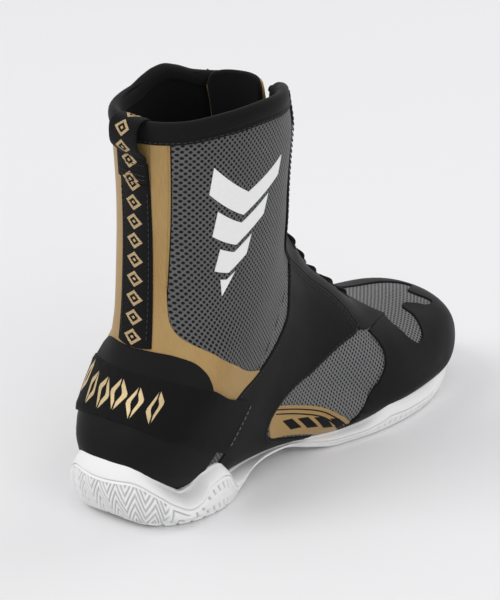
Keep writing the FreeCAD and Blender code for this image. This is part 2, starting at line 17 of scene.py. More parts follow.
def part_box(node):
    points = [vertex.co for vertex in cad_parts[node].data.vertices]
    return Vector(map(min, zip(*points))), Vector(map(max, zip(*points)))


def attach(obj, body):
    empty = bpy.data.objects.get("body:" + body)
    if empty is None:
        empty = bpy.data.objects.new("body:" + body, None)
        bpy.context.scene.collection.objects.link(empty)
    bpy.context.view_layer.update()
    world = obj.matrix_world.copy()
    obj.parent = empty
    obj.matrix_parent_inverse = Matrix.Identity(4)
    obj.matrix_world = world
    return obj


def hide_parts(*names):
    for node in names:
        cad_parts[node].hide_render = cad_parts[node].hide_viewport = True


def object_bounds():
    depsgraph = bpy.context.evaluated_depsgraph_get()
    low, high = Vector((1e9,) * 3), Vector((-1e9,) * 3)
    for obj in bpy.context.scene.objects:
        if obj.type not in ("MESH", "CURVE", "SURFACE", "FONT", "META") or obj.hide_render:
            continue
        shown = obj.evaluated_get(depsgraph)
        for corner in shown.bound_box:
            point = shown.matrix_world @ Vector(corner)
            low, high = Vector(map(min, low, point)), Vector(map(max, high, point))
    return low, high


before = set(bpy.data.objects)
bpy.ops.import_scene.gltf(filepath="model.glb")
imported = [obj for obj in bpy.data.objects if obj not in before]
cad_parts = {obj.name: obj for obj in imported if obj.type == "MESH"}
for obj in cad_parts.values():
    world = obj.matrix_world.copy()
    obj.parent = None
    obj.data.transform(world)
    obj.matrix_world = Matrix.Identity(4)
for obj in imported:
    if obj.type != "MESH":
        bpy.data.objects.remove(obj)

CAD_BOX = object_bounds()
MM = 0.001
SIDES = (("medial", 1), ("lateral", -1))

# ------------------------------------------------------------ form surface
PATTERN_LENGTH = 279.0
SOLE_LOW, SOLE_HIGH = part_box("outsole")
SCALE = (SOLE_HIGH.y - SOLE_LOW.y) / PATTERN_LENGTH
SIDE_SHIFT = 2.5
# back or bottom point (length, height), front or top point (length, height),
# medial and lateral half widths, side shift, height share of the widest line,
# and how square the bottom and the top of the section are
STATIONS = np.array([
    (271, 25, 271, 29, 1, 1, 4, .50, 2.0, 2.0),
    (268, 17, 266, 40, 20, 19, 4, .45, 2.4, 2.1),
    (258, 13, 254, 49, 32, 31, 3, .35, 3.0, 2.2),
    (242, 10, 236, 54, 40, 40, 2, .30, 4.0, 2.1),
    (221, 9, 216, 57, 44, 46, 1, .28, 4.5, 2.0),
    (197, 8, 193, 64, 46, 48, 0, .28, 4.5, 2.0),
    (170, 9, 176, 76, 43, 46, 0, .30, 5.0, 2.0),
    (140, 12, 165, 91, 37, 42, 0, .35, 5.5, 2.0),
    (102, 13, 153, 101, 33, 38, 0, .40, 5.5, 2.0),
    (62, 11, 144, 111, 34, 37, 0, .42, 4.5, 2.0),
    (26, 14, 135.5, 121, 37, 38, 0, .45, 3.2, 2.0),
    (4, 36, 131.5, 132, 39, 36, 0, .48, 2.6, 2.0),
    (19, 66, 131, 147, 38, 31, 0, .50, 2.2, 2.0),
    (30, 92, 131, 160, 38, 34.5, 0, .50, 2.1, 2.0),
    (34, 120, 131, 173, 39, 37, 0, .50, 2.05, 2.0),
    (36, 156, 131, 188, 41, 39, 0, .50, 2.0, 2.0),
    (35, 199, 132, 203, 43, 43, 0, .50, 2.0, 2.0),
])
COLLAR = len(STATIONS) - 1
# bell-shaped changes of the form: height outward in mm, middle and spread
COLLAR_LEAN = (-4.5, 50, 24)        # over the angle, near the collar
ARCH_SWELL = (5.5, 6.9, 1.1)        # over the station, on the medial side of the foot
INSTEP_RISE = (3.0, 11.7, 0.9)      # over the station, along the front ridge
INSTEP_DIP = (-6.0, 7.2, 0.85)
RIDGE_SPREAD = 34


def unit(vectors):
    """The same directions with length 1."""
    return vectors / (np.linalg.norm(vectors, axis=-1, keepdims=True) + 1e-12)


def step_up(value, low, high):
    """Smooth rise from 0 to 1 between two values."""
    t = np.clip((value - low) / (high - low), 0, 1)
    return t * t * (3 - 2 * t)


def bell(value, height, middle, spread):
    """Bell curve of a height round a middle."""
    return height * np.exp(-((value - middle) / spread) ** 2)


def reach_along(path):
    """Length of a path up to each of its points."""
    return np.concatenate([[0], np.cumsum(np.linalg.norm(np.diff(path, axis=0), axis=1))])


def at_lengths(path, reach, wanted):
    """Places on a path at lengths along it."""
    return np.stack([np.interp(wanted, reach, column) for column in path.T], -1)


def spline_bends(values):
    """Second-order terms of natural splines through the rows, one a station apart."""
    count = len(values)
    system = np.zeros((count, count))
    pull = np.zeros_like(values)
    system[0, 0] = system[-1, -1] = 1
    for i in range(1, count - 1):
        system[i, i - 1:i + 2] = (1, 4, 1)
        pull[i] = 3 * (values[i + 1] - 2 * values[i] + values[i - 1])
    return np.linalg.solve(system, pull)


BENDS = spline_bends(STATIONS)


def columns(station):
    """The section's ten measures at each station."""
    i = np.clip(station.astype(int), 0, COLLAR - 1)
    t = (station - i)[..., None]
    step = STATIONS[i + 1] - STATIONS[i]
    first = step - (BENDS[i + 1] + 2 * BENDS[i]) / 3
    third = (BENDS[i + 1] - BENDS[i]) / 3
    return np.moveaxis(STATIONS[i] + first * t + BENDS[i] * t ** 2 + third * t ** 3, -1, 0)


def place(side, along, height):
    """Pattern coordinates to the boot's frame, in metres."""
    middle = (SOLE_LOW.y + SOLE_HIGH.y) / 2
    return np.stack(np.broadcast_arrays((side + SIDE_SHIFT) * SCALE,
                                        middle + (along - PATTERN_LENGTH / 2) * SCALE,
                                        height * SCALE), -1)


def section(station, angle):
    """Points on the form surface, and the middles of their sections."""
    (back, low, front, high, medial, lateral,
     shift, widest, square_low, square_top) = columns(station)
    turn = np.radians(angle)
    up, out = np.cos(turn), np.sin(turn)
    power = np.where(up >= 0, square_top, square_low)
    reach = (np.abs(up) ** power + np.abs(out) ** power) ** (-1 / power)
    width = np.where(out >= 0, medial, lateral)
    share = widest + np.where(up >= 0, 1 - widest, widest) * reach * up
    point = place(shift + width * reach * out, back + (front - back) * share,
                  low + (high - low) * share)
    centre = place(shift, back + (front - back) * widest, low + (high - low) * widest)
    return point, centre


def tangents(station, angle):
    """Change of the point per station and per degree."""
    du, da = 0.02, 0.6
    low, high = np.maximum(station - du, 0.01), station + du
    along = (section(high, angle)[0] - section(low, angle)[0]) / (high - low)[..., None]
    around = (section(station, angle + da)[0] - section(station, angle - da)[0]) / (2 * da)
    return along, around


def form(spots, offset=0.0):
    """Points at offsets (mm) outward from the form surface, for rows of (station, angle)."""
    spots = np.asarray(spots, float)
    station, angle = spots[..., 0], spots[..., 1]
    point, centre = section(station, angle)
    normal = normals(spots, point, centre)
    lean = bell(angle, *COLLAR_LEAN) * step_up(station, 14.9, 16.2)
    arch = bell(station, *ARCH_SWELL) * step_up(angle, 98, 134) * step_up(-angle, -175, -145)
    ridge = bell((angle + 180) % 360 - 180, 1, 0, RIDGE_SPREAD)
    instep = (bell(station, *INSTEP_RISE) + bell(station, *INSTEP_DIP)) * ridge
    lift = np.asarray(offset, float) + lean + arch + instep
    return point + normal * (lift * MM)[..., None]


def normals(spots, point=None, centre=None):
    """Outward unit normals."""
    station, angle = spots[..., 0], spots[..., 1]
    if point is None:
        point, centre = section(station, angle)
    normal = unit(np.cross(*tangents(station, angle)))
    flip = np.sign(np.sum(normal * (point - centre), axis=-1, keepdims=True))
    return normal * np.where(flip == 0, 1, flip)


def steady(table):
    """Smooth curve through (x, y) rows that never overshoots them."""
    x, y = np.array(table, float).T
    gap, rise = np.diff(x), np.diff(y) / np.diff(x)
    slope = np.concatenate([rise[:1], np.zeros(len(x) - 2), rise[-1:]])
    same = rise[:-1] * rise[1:] > 0
    w1, w2 = 2 * gap[1:] + gap[:-1], gap[1:] + 2 * gap[:-1]
    slope[1:-1][same] = ((w1 + w2) / (w1 / rise[:-1] + w2 / rise[1:]))[same]

    def value(at):
        at = np.clip(at, x[0], x[-1])
        i = np.clip(np.searchsorted(x, at) - 1, 0, len(x) - 2)
        t = (at - x[i]) / gap[i]
        return (y[i] * (1 + 2 * t) * (1 - t) ** 2 + y[i + 1] * t * t * (3 - 2 * t)
                + gap[i] * (slope[i] * t * (1 - t) ** 2 - slope[i + 1] * t * t * (1 - t)))
    return value


# ------------------------------------------------------------ outlines on the surface
FLAT = np.array([14.0, 0.7])       # rough millimetres per station and per degree
NET_ROW, NET_GAP = 0.87, 0.45      # a net's rows and its gap at the edge, in pitches


def rounded(points, closed=False):
    """Dense curve through points, without overshoot; a closed one ends where it starts."""
    pts = np.asarray(points, float)
    if closed:
        pts = np.vstack([pts[-1], pts, pts[:2]])
    else:
        pts = np.vstack([2 * pts[0] - pts[1], pts, 2 * pts[-1] - pts[-2]])
    steps = np.sqrt(np.linalg.norm(np.diff(pts, axis=0), axis=1)) + 1e-6
    knot = np.concatenate([[0], np.cumsum(steps)])
    parts = []
    for i in range(1, len(pts) - 2):
        t = np.linspace(knot[i], knot[i + 1], 24, endpoint=False)[:, None]
        k = knot[i - 1:i + 3]
        level = pts[i - 1:i + 3]
        for spans in ((0, 1), (1, 2), (2, 3)), ((0, 2), (1, 3)), ((1, 2),):
            level = [p * (k[b] - t) / (k[b] - k[a]) + q * (t - k[a]) / (k[b] - k[a])
                     for p, q, (a, b) in zip(level, level[1:], spans)]
        parts.append(level[0])
    return np.vstack(parts + [pts[-2][None]])


def smooth(points, pitch=1.3):
    """Even points along a rounded curve through (station, angle) points."""
    pts = np.asarray(points, float)
    if len(pts) == 2:
        dense = pts[0] + (pts[1] - pts[0]) * np.linspace(0, 1, 60)[:, None]
    else:
        dense = rounded(pts * FLAT) / FLAT
    return resample(dense, pitch)


def resample(spots, pitch):
    """The same path with points one pitch (mm) apart on the surface."""
    reach = reach_along(form(spots))
    count = max(2, int(round(reach[-1] / (pitch * MM))) + 1)
    return at_lengths(spots, reach, np.linspace(0, reach[-1], count))


def outline(*chains, pitch=1.3):
    """Closed outline from chains that are rounded inside and meet at corners."""
    return np.vstack([smooth(chain, pitch)[:-1] for chain in chains])


def corners(*runs):
    """Chains of a closed outline: each run ends at the corner where the next starts."""
    return [[before[-1], *run] for before, run in zip(runs[-1:] + runs[:-1], runs)]


def straight(points):
    """Chains of a closed outline with straight sides."""
    return corners(*[[spot] for spot in points[1:] + points[:1]])


def mirrored(points):
    """The same points on the lateral side."""
    return [(s, -a) for s, a in points]


def around_back(points):
    """A medial chain that ends at 180, carried on round to the lateral side."""
    return list(points) + [(s, 360 - a) for s, a in reversed(points[:-1])]


def area(spots):
    """Signed area of a closed outline, in flat units."""
    flat = spots * FLAT
    after = np.roll(flat, -1, axis=0)
    return 0.5 * np.sum(flat[:, 0] * after[:, 1] - flat[:, 1] * after[:, 0])


def inset(spots, distance, closed=True):
    """Moves a path sideways over the surface, to its left, by a distance (mm)."""
    if closed:
        ahead, behind = np.roll(spots, -1, axis=0), np.roll(spots, 1, axis=0)
    else:
        ahead = np.vstack([spots[1:], 2 * spots[-1:] - spots[-2:-1]])
        behind = np.vstack([2 * spots[:1] - spots[1:2], spots[:-1]])
    way = ahead - behind
    along, around = tangents(spots[:, 0], spots[:, 1])
    travel = unit(along * way[:, :1] + around * way[:, 1:])
    side = np.cross(unit(np.cross(along, around)), travel) * distance * MM
    uu, ua, aa = (np.sum(x * y, axis=1)
                  for x, y in ((along, along), (along, around), (around, around)))
    ru, ra = np.sum(along * side, axis=1), np.sum(around * side, axis=1)
    det = uu * aa - ua * ua
    return spots + np.stack([(ru * aa - ra * ua) / det, (ra * uu - ru * ua) / det], -1)


def inside(spots, loop):
    """Which flat points lie inside a closed loop."""
    x, y = spots[:, 0][:, None], spots[:, 1][:, None]
    x0, y0 = loop[:, 0], loop[:, 1]
    x1, y1 = np.roll(x0, -1), np.roll(y0, -1)
    cross = (y0 > y) != (y1 > y)
    edge = x0 + (y - y0) * (x1 - x0) / np.where(y1 == y0, 1e-9, y1 - y0)
    return (np.sum(cross & (x < edge), axis=1) % 2) == 1


def distance_to(points, targets):
    """Distance (metres) from each point to the nearest target."""
    tree = KDTree(len(targets))
    for i, co in enumerate(targets):
        tree.insert(Vector(co), i)
    tree.balance()
    return np.array([tree.find(Vector(co))[2] for co in points])


# ------------------------------------------------------------ mesh making
def make_object(name, verts, faces, material, uv=None, sharp=40):
    """Mesh object with smooth faces, sharp creases and one material."""
    mesh = bpy.data.meshes.new(name)
    mesh.from_pydata([tuple(v) for v in verts], [], [tuple(int(i) for i in f) for f in faces])
    mesh.validate()
    mesh.polygons.foreach_set("use_smooth", [True] * len(mesh.polygons))
    if uv is not None:
        layer = mesh.uv_layers.new(name="UVMap")
        index = np.zeros(len(mesh.loops), int)
        mesh.loops.foreach_get("vertex_index", index)
        layer.data.foreach_set("uv", np.asarray(uv, float)[index].ravel())
    if sharp:
        mesh.set_sharp_from_angle(angle=math.radians(sharp))
    mesh.materials.append(material)
    item = bpy.data.objects.new(name, mesh)
    bpy.context.scene.collection.objects.link(item)
    return item


def settle(item, body, replaced=()):
    """Rides on a body and stands for CAD nodes, which it hides."""
    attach(item, body)
    if replaced:
        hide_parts(*replaced)
    return item


def around(spots):
    """Distance (mm) round the section from the top or front to each spot."""
    steps = spots[:, 1:] * np.linspace(0, 1, 25)[None]
    station = np.repeat(spots[:, :1], 25, axis=1)
    run = np.linalg.norm(np.diff(section(station, steps)[0], axis=1), axis=2).sum(axis=1) / MM
    return run * np.sign(spots[:, 1])


def leg_uv(spots):
    """Cloth coordinates (mm) on the shaft: round it, and up it."""
    return np.stack([around(spots), form(spots)[:, 2] / MM], -1)


def side_uv(spots):
    """Cloth coordinates (mm) on the boot's sides: toward the heel, and up."""
    return form(spots)[:, 1:] * (-1 / MM, 1 / MM)


def foot_uv(spots):
    """Cloth coordinates (mm) on the foot: round it, and along it."""
    return np.stack([around(spots), -form(spots)[:, 1] / MM], -1)


def grid_uv(across, along):
    """Cloth coordinates (mm) of a tube's rings: round each, and from ring to ring."""
    return np.stack(np.broadcast_arrays(across[None], along[:, None]), -1).reshape(-1, 2)


def layer_mesh(loop, inner, outer, uv_of=leg_uv, pitch=2.6, edge=0.35, crown=0.0,
               crown_width=6.0, belly=0.0, rounds=1, relief=None):
    """Closed layer between two offsets (mm) over one outline.

    The edge is rounded over a width, the face swells by a crown and the back by a belly,
    and relief adds a height at each place. Returns vertices, faces and cloth coordinates.
    """
    if area(loop) < 0:
        loop = loop[::-1]
    sign = 1
    if abs(area(inset(loop, edge))) > abs(area(loop)):
        sign = -1
    ring = inset(loop, sign * edge)
    flat_ring = ring * FLAT
    low, high = flat_ring.min(0), flat_ring.max(0)
    gx = np.arange(low[0], high[0] + pitch, pitch * NET_ROW)
    gy = np.arange(low[1], high[1] + pitch, pitch)
    net = np.array([(x, y + i % 2 * pitch / 2) for i, x in enumerate(gx) for y in gy])
    net = net[inside(net, flat_ring)]
    if len(net):
        gap = distance_to(np.c_[net, np.zeros(len(net))], np.c_[flat_ring, np.zeros(len(ring))])
        net = net[gap > pitch * NET_GAP]
    count = len(ring)
    points = np.vstack([flat_ring, net]) if len(net) else flat_ring
    edges = [(i, (i + 1) % count) for i in range(count)]
    corner_spots, _, triangles, olds_of, *_ = delaunay_2d_cdt(
        [Vector(p) for p in points], edges, [], 1, 1e-6)
    spots = np.array([(v.x, v.y) for v in corner_spots]) / FLAT
    total = len(spots)
    triangles = np.array(triangles, int)
    rim_of = {old: new for new, olds in enumerate(olds_of) for old in olds if old < count}
    rim = np.array([rim_of[i] for i in range(count)])
    base = form(spots)
    near = distance_to(base, form(loop)) / MM
    dome = 1 - np.exp(-(near / crown_width) ** 2)
    lift = crown * dome
    if relief:
        lift = lift + relief(spots, near)
    round_off = min(edge, (outer - inner) / 2)
    bands = []
    for k in range(1, rounds + 1):
        turn = math.pi / 2 * k / rounds
        bands.append((edge * (1 - math.sin(turn)), outer - round_off * (1 - math.cos(turn))))
    if rounds > 1:
        bands += [(gap, inner + outer - level) for gap, level in reversed(bands)]
    else:
        bands.append((0.0, inner))
    rows = [form(inset(loop, sign * gap) if gap > 1e-4 else loop, np.full(count, level))
            for gap, level in bands]
    verts = np.vstack([form(spots, outer + lift)] + rows + [form(spots, inner - belly * dome)])
    last = total + count * len(bands)
    a = base[triangles[:, 1]] - base[triangles[:, 0]]
    b = base[triangles[:, 2]] - base[triangles[:, 0]]
    facing = np.sum(np.cross(a, b) * normals(spots)[triangles[:, 0]], axis=1)
    triangles[facing < 0] = triangles[facing < 0][:, ::-1]
    faces = [tuple(f) for f in triangles]
    faces += [tuple(f[::-1] + last) for f in triangles]
    pair = {(f[i], f[(i + 1) % 3]) for f in triangles for i in range(3)}
    forward = (rim[0], rim[1]) in pair
    levels = [rim]
    levels += [total + count * k + np.arange(count) for k in range(len(bands))]
    levels.append(rim + last)
    for upper, lower in zip(levels[:-1], levels[1:]):
        for i in range(count):
            j = (i + 1) % count
            quad = (upper[j], upper[i], lower[i], lower[j])
            faces.append(quad if forward else quad[::-1])
    face_uv, edge_uv = uv_of(spots), uv_of(loop)
    return verts, faces, np.vstack([face_uv] + [edge_uv] * len(bands) + [face_uv])


def panel(name, loops, inner, outer, material, slot_name, replaced=(), body="boot", **options):
    """One piece of cloth or film, over one outline or several."""
    if isinstance(loops, np.ndarray):
        loops = [loops]
    verts, faces, uv = [], [], []
    for loop in loops:
        first = len(verts)
        more, sides, spread = layer_mesh(loop, inner, outer, **options)
        verts.extend(more)
        faces.extend(tuple(int(i) + first for i in f) for f in sides)
        uv.extend(spread)
    item = make_object(name, verts, faces, material, uv)
    return settle(item, body, replaced)


def tube_rings(centres, radii, sides):
    """Rings of a tube along centres (metres)."""
    way = unit(np.gradient(centres, axis=0))
    normal = np.array([0.0, 0, 1])
    if abs(np.dot(normal, way[0])) > 0.9:
        normal = np.array([1.0, 0, 0])
    t = np.linspace(0, 2 * math.pi, sides, endpoint=False)[:, None]
    rings = []
    for centre, radius, d in zip(centres, radii, way):
        normal = unit(normal - d * np.dot(normal, d))
        rings.append(centre + radius * (np.cos(t) * normal + np.sin(t) * np.cross(d, normal)))
    return np.array(rings)


def tube_mesh(rings, first=0):
    """Faces of a tube with capped ends."""
    count, sides = rings.shape[:2]
    faces = []
    for start in range(first, first + (count - 1) * sides, sides):
        for j in range(sides):
            m = (j + 1) % sides
            faces.append((start + j, start + m, start + sides + m, start + sides + j))
    last = first + (count - 1) * sides
    faces.append(tuple(range(first + sides - 1, first - 1, -1)))
    faces.append(tuple(range(last, last + sides)))
    return faces


def stitches(name, paths, offset, material, length=2.0, gap=0.9):
    """Rows of short threads along paths on the surface."""
    step, thick = 0.5, 0.26
    per, span = int(round((length + gap) / step)), int(round(length / step))
    share = np.abs(np.linspace(-1, 1, span + 1))
    arch = ((1 - share ** 3) * thick * 1.1 - thick * 0.55) * MM
    radii = thick * MM * (1 - 0.35 * share ** 4)
    verts, faces = [], []
    for path in paths:
        line = resample(np.asarray(path, float), step)
        spots, out = form(line, offset), normals(line)
        for start in range(1, len(line) - span - 1, per):
            part = slice(start, start + span + 1)
            rings = tube_rings(spots[part] + out[part] * arch[:, None], radii, 6)
            faces += tube_mesh(rings, len(verts))
            verts += rings.reshape(-1, 3).tolist()
    settle(make_object(name, verts, faces, material, sharp=None), "boot")


# ------------------------------------------------------------ material tools
class Shade:
    """A material's node tree, with short ways to add nodes."""

    def __init__(self, name, rough=0.6, metallic=0.0, **sockets):
        self.material = bpy.data.materials.new(name)
        self.material.use_nodes = True
        self.tree = self.material.node_tree
        self.base = self.tree.nodes["Principled BSDF"]
        self.base.inputs["Roughness"].default_value = rough
        self.base.inputs["Metallic"].default_value = metallic
        for key, value in sockets.items():
            self.base.inputs[key.replace("_", " ")].default_value = value
        coords = self.tree.nodes.new("ShaderNodeTexCoord")
        self.uv, self.space = coords.outputs["UV"], coords.outputs["Object"]

    def node(self, kind, **settings):
        """A node with its settings and default inputs."""
        item = self.tree.nodes.new("ShaderNode" + kind)
        for key, value in settings.items():
            if key in item.inputs:
                item.inputs[key].default_value = value
            else:
                setattr(item, key, value)
        return item

    def link(self, source, target):
        self.tree.links.new(source, target)

    def math(self, kind, first, second=None):
        """A math node over sockets or numbers."""
        item = self.node("Math", operation=kind)
        for i, value in enumerate((first, second)):
            if value is None:
                continue
            if isinstance(value, (int, float)):
                item.inputs[i].default_value = value
            else:
                self.link(value, item.inputs[i])
        return item.outputs[0]

    def mapping(self, source, scale):
        item = self.node("Mapping", Scale=scale)
        self.link(source, item.inputs["Vector"])
        return item.outputs[0]

    def noise(self, scale, detail=2.0, rough=0.5, source=None):
        """Noise in space, or over another source."""
        item = self.node("TexNoise", Scale=scale, Detail=detail, Roughness=rough)
        self.link(self.space if source is None else source, item.inputs["Vector"])
        return item.outputs["Fac"]

    def mix(self, factor, first, second):
        """Colour mix by a socket: each side a socket or a colour."""
        item = self.node("Mix", data_type="RGBA")
        self.link(factor, item.inputs[0])
        for index, value in ((6, first), (7, second)):
            if isinstance(value, tuple):
                item.inputs[index].default_value = (*value, 1)
            else:
                self.link(value, item.inputs[index])
        return item.outputs[2]

    def colour(self, source):
        if isinstance(source, tuple):
            self.base.inputs["Base Color"].default_value = (*source, 1)
        else:
            self.link(source, self.base.inputs["Base Color"])

    def rough(self, source):
        self.link(source, self.base.inputs["Roughness"])

    def bump(self, *layers):
        """Bumps one over another: (height socket, strength, distance in metres)."""
        previous = None
        for height, strength, distance in layers:
            item = self.node("Bump", Strength=strength, Distance=distance)
            self.link(height, item.inputs["Height"])
            if previous is not None:
                self.link(previous, item.inputs["Normal"])
            previous = item.outputs["Normal"]
        self.link(previous, self.base.inputs["Normal"])

    def span(self, source, low, high, to_low=0.0, to_high=1.0):
        """Map Range node, clamped."""
        item = self.node("MapRange", clamp=True)
        for key, value in (("From Min", low), ("From Max", high),
                           ("To Min", to_low), ("To Max", to_high)):
            item.inputs[key].default_value = value
        self.link(source, item.inputs["Value"])
        return item.outputs["Result"]

    def split(self, source):
        """First two parts of a vector."""
        item = self.node("SeparateXYZ")
        self.link(source, item.inputs[0])
        return item.outputs[0], item.outputs[1]

    def wave(self, source, length):
        """Sine wave of a length along a socket."""
        return self.math("SINE", self.math("MULTIPLY", source, 2 * math.pi / length))


# ------------------------------------------------------------ materials
def mesh_material(name, dark, light, holes, cell):
    """Grey spacer mesh: a staggered lattice of yarn round dark holes, lighter to the front, with
    painted shade darkening it toward the back.
    """
    shade = Shade(name, 0.85, Sheen_Weight=0.1, Sheen_Roughness=0.5, Specular_IOR_Level=0.15)
    across, along = shade.split(shade.uv)
    across = shade.math("ADD", across, shade.math("MULTIPLY", shade.noise(260), 0.5))
    x, y = shade.math("DIVIDE", across, cell), shade.math("DIVIDE", along, cell * 1.3)
    squares = []
    for kind in ("ADD", "SUBTRACT"):
        part = shade.math("FRACT", shade.math(kind, x, y))
        off_middle = shade.math("ABSOLUTE", shade.math("SUBTRACT", part, 0.5))
        squares.append(shade.math("POWER", off_middle, 2.0))
    yarn = shade.span(shade.math("ADD", *squares), holes - 0.045, holes + 0.055)
    fibre = shade.noise(2400, 2.0, 0.6)
    # painted shade: the same mesh is darkened toward the back of the boot and left lighter to the
    # front
    forward = shade.span(shade.split(shade.space)[1], -0.075, -0.015, 0.0, 0.8)
    tone = shade.math("ADD", forward, shade.math("MULTIPLY", shade.noise(50, 3.0), 0.35))
    fuzz = shade.span(fibre, 0.3, 0.7, 0.0, 0.55)
    yarn_tone_and_shade = shade.mix(fuzz, shade.mix(tone, dark, light), (0.035, 0.035, 0.036))
    shade.colour(shade.mix(yarn, (0.006, 0.006, 0.006), yarn_tone_and_shade))
    shade.bump((yarn, 0.8, 0.0004), (fibre, 0.3, 0.0002))
    return shade.material


def gold_material():
    """Satin gold cloth: fine warp and weft lines, with a brushed, uneven tone."""
    shade = Shade("gold_panel", 0.45, 0.25, Sheen_Weight=0.05, Sheen_Roughness=0.4,
                  Specular_IOR_Level=0.35)
    across, along = shade.split(shade.uv)
    warp = shade.wave(shade.math("ADD", across, along), 0.8)
    weft = shade.wave(shade.math("SUBTRACT", across, along), 0.9)
    streak = shade.noise(1.0, 3.0, source=shade.mapping(shade.uv, (1.2, 0.12, 1)))
    tone = shade.mix(streak, (0.265, 0.155, 0.05), (0.43, 0.275, 0.10))
    patches = shade.span(shade.noise(30, 2.0), 0.3, 0.7, 0.0, 0.45)
    shade.colour(shade.mix(patches, tone, (0.48, 0.325, 0.135)))
    shade.bump((warp, 0.3, 0.00008), (weft, 0.25, 0.00006))
    return shade.material


def webbing_material():
    """Black ribbed webbing with a chain of hollow gold lozenges woven in."""
    shade = Shade("webbing_black", 0.7, Sheen_Weight=0.03, Sheen_Roughness=0.4,
                  Specular_IOR_Level=0.12)
    across, along = shade.split(shade.uv)
    rib = shade.wave(along, 1.15)
    cell = shade.math("SUBTRACT", shade.math("FRACT", shade.math("DIVIDE", along, 10.0)), 0.5)
    reach = shade.math("ADD", shade.math("DIVIDE", shade.math("ABSOLUTE", across), 5.4),
                       shade.math("MULTIPLY", shade.math("ABSOLUTE", cell), 2.35))
    ring = shade.math("MULTIPLY", shade.math("LESS_THAN", reach, 1.0),
                      shade.math("GREATER_THAN", reach, 0.58))
    mark = shade.math("MAXIMUM", ring, shade.math("LESS_THAN", reach, 0.22))
    thread = shade.math("ADD", shade.math("MULTIPLY", rib, 0.18), shade.noise(900, 2.0))
    gold = shade.mix(thread, (0.33, 0.22, 0.10), (0.66, 0.50, 0.29))
    shade.colour(shade.mix(mark, (0.005, 0.005, 0.0055), gold))
    shade.bump((rib, 0.7, 0.00025), (mark, 0.5, 0.0002))
    return shade.material


def rubber_material():
    """Matt white moulded rubber, with painted shade darkening its grooves."""
    shade = Shade("rubber_white", 0.48, Specular_IOR_Level=0.45)
    broad = shade.noise(25, 3.0)
    white = shade.mix(broad, (0.82, 0.82, 0.815), (0.88, 0.88, 0.875))
    # painted shade: grey mixed in by each row's groove depth, carried in the uv's first part
    painted_groove_shade = shade.span(shade.split(shade.uv)[0], 0.3, 1.1)
    shade.colour(shade.mix(painted_groove_shade, white, (0.55, 0.55, 0.55)))
    shade.rough(shade.span(broad, 0.3, 0.7, 0.42, 0.55))
    shade.bump((shade.noise(1500, 2.0), 0.12, 0.0001))
    return shade.material


def grained(name, dark, light, rough, metallic=0.0, grain=(300, 3.0), strength=0.2, **sockets):
    """Plain material with one grain."""
    shade = Shade(name, rough, metallic, **sockets)
    fine = shade.noise(*grain)
    shade.colour(shade.mix(fine, dark, light))
    shade.bump((fine, strength, 0.0001))
    return shade.material


def cloth(name, dark, light, rough, rib=0.0, rib_pitch=1.2, sheen=0.04, sheen_rough=0.5,
          specular=0.1, fine=(1800, 2.0, 0.6, 0.5, 0.00015), broad=(60, 3.0, 0.5, 0.3, 0.0008),
          uneven=0.0):
    """Black cloth: two grains (scale, detail, roughness, bump, depth) and optional ribs."""
    shade = Shade(name, rough, Sheen_Weight=sheen, Sheen_Roughness=sheen_rough,
                  Specular_IOR_Level=specular)
    small, large = shade.noise(*fine[:3]), shade.noise(*broad[:3])
    shade.colour(shade.mix(large, dark, light))
    if uneven:
        shade.rough(shade.span(large, 0.3, 0.7, rough - uneven, rough + uneven))
    layers = [(small, *fine[3:]), (large, *broad[3:])]
    if rib:
        layers.append((shade.wave(shade.split(shade.uv)[1], rib_pitch), rib, 0.0002))
    shade.bump(*layers)
    return shade.material


MESH = mesh_material("mesh_grey", (0.16, 0.162, 0.164), (0.225, 0.227, 0.23), 0.095, 2.5)
LEG_MESH = mesh_material("mesh_leg", (0.12, 0.121, 0.121), (0.23, 0.232, 0.233), 0.11, 2.5)
GOLD = gold_material()
RUBBER = rubber_material()
WEBBING = webbing_material()
MICRO = cloth("microfibre_black", (0.0035, 0.0035, 0.004), (0.0065, 0.0065, 0.007), 0.6,
              sheen=0.03, sheen_rough=0.4, specular=0.14, fine=(2600, 3.0, 0.6, 0.35, 0.0001),
              broad=(45, 3.0, 0.5, 0.25, 0.0006), uneven=0.08)
ELASTIC = cloth("elastic_black", (0.004, 0.004, 0.0045), (0.0065, 0.0065, 0.007), 0.75, rib=0.15,
                rib_pitch=0.7)
LINING = cloth("lining_black", (0.003, 0.003, 0.0035), (0.0055, 0.0055, 0.006), 0.9)
PADDING = cloth("padding_black", (0.004, 0.004, 0.0045), (0.007, 0.007, 0.0075), 0.75,
                sheen=0.06)
LACE = cloth("lace_black", (0.004, 0.004, 0.0045), (0.008, 0.008, 0.009), 0.75)
WEBBING_PLAIN = cloth("webbing_plain", (0.004, 0.004, 0.0045), (0.007, 0.007, 0.0075), 0.7,
                      rib=0.5)
FILM = grained("emblem_white", (0.76, 0.76, 0.76), (0.84, 0.84, 0.84), 0.5,
               grain=(700, 2.0), strength=0.15, Specular_IOR_Level=0.4)
THREAD = grained("thread_black", (0.012, 0.012, 0.013), (0.02, 0.02, 0.021), 0.6)
GREY_THREAD = grained("thread_grey", (0.12, 0.12, 0.125), (0.2, 0.2, 0.205), 0.6)
EYELET = grained("eyelet_black", (0.006, 0.006, 0.006), (0.012, 0.012, 0.012), 0.3, 0.8)
BOARD = grained("board_grey", (0.25, 0.25, 0.24), (0.33, 0.33, 0.32), 0.8)
STIFF = grained("stiffener", (0.2, 0.2, 0.2), (0.28, 0.28, 0.28), 0.6)
FOAM = grained("foam_white", (0.7, 0.7, 0.68), (0.78, 0.78, 0.76), 0.7)
GOLD_PRINT = grained("gold_print", (0.50, 0.36, 0.17), (0.66, 0.52, 0.30), 0.4, 0.3, (500, 3.0))

THROAT = 13         # angle of the throat's edges
TOP = 15.9          # station of the cloth's top edge


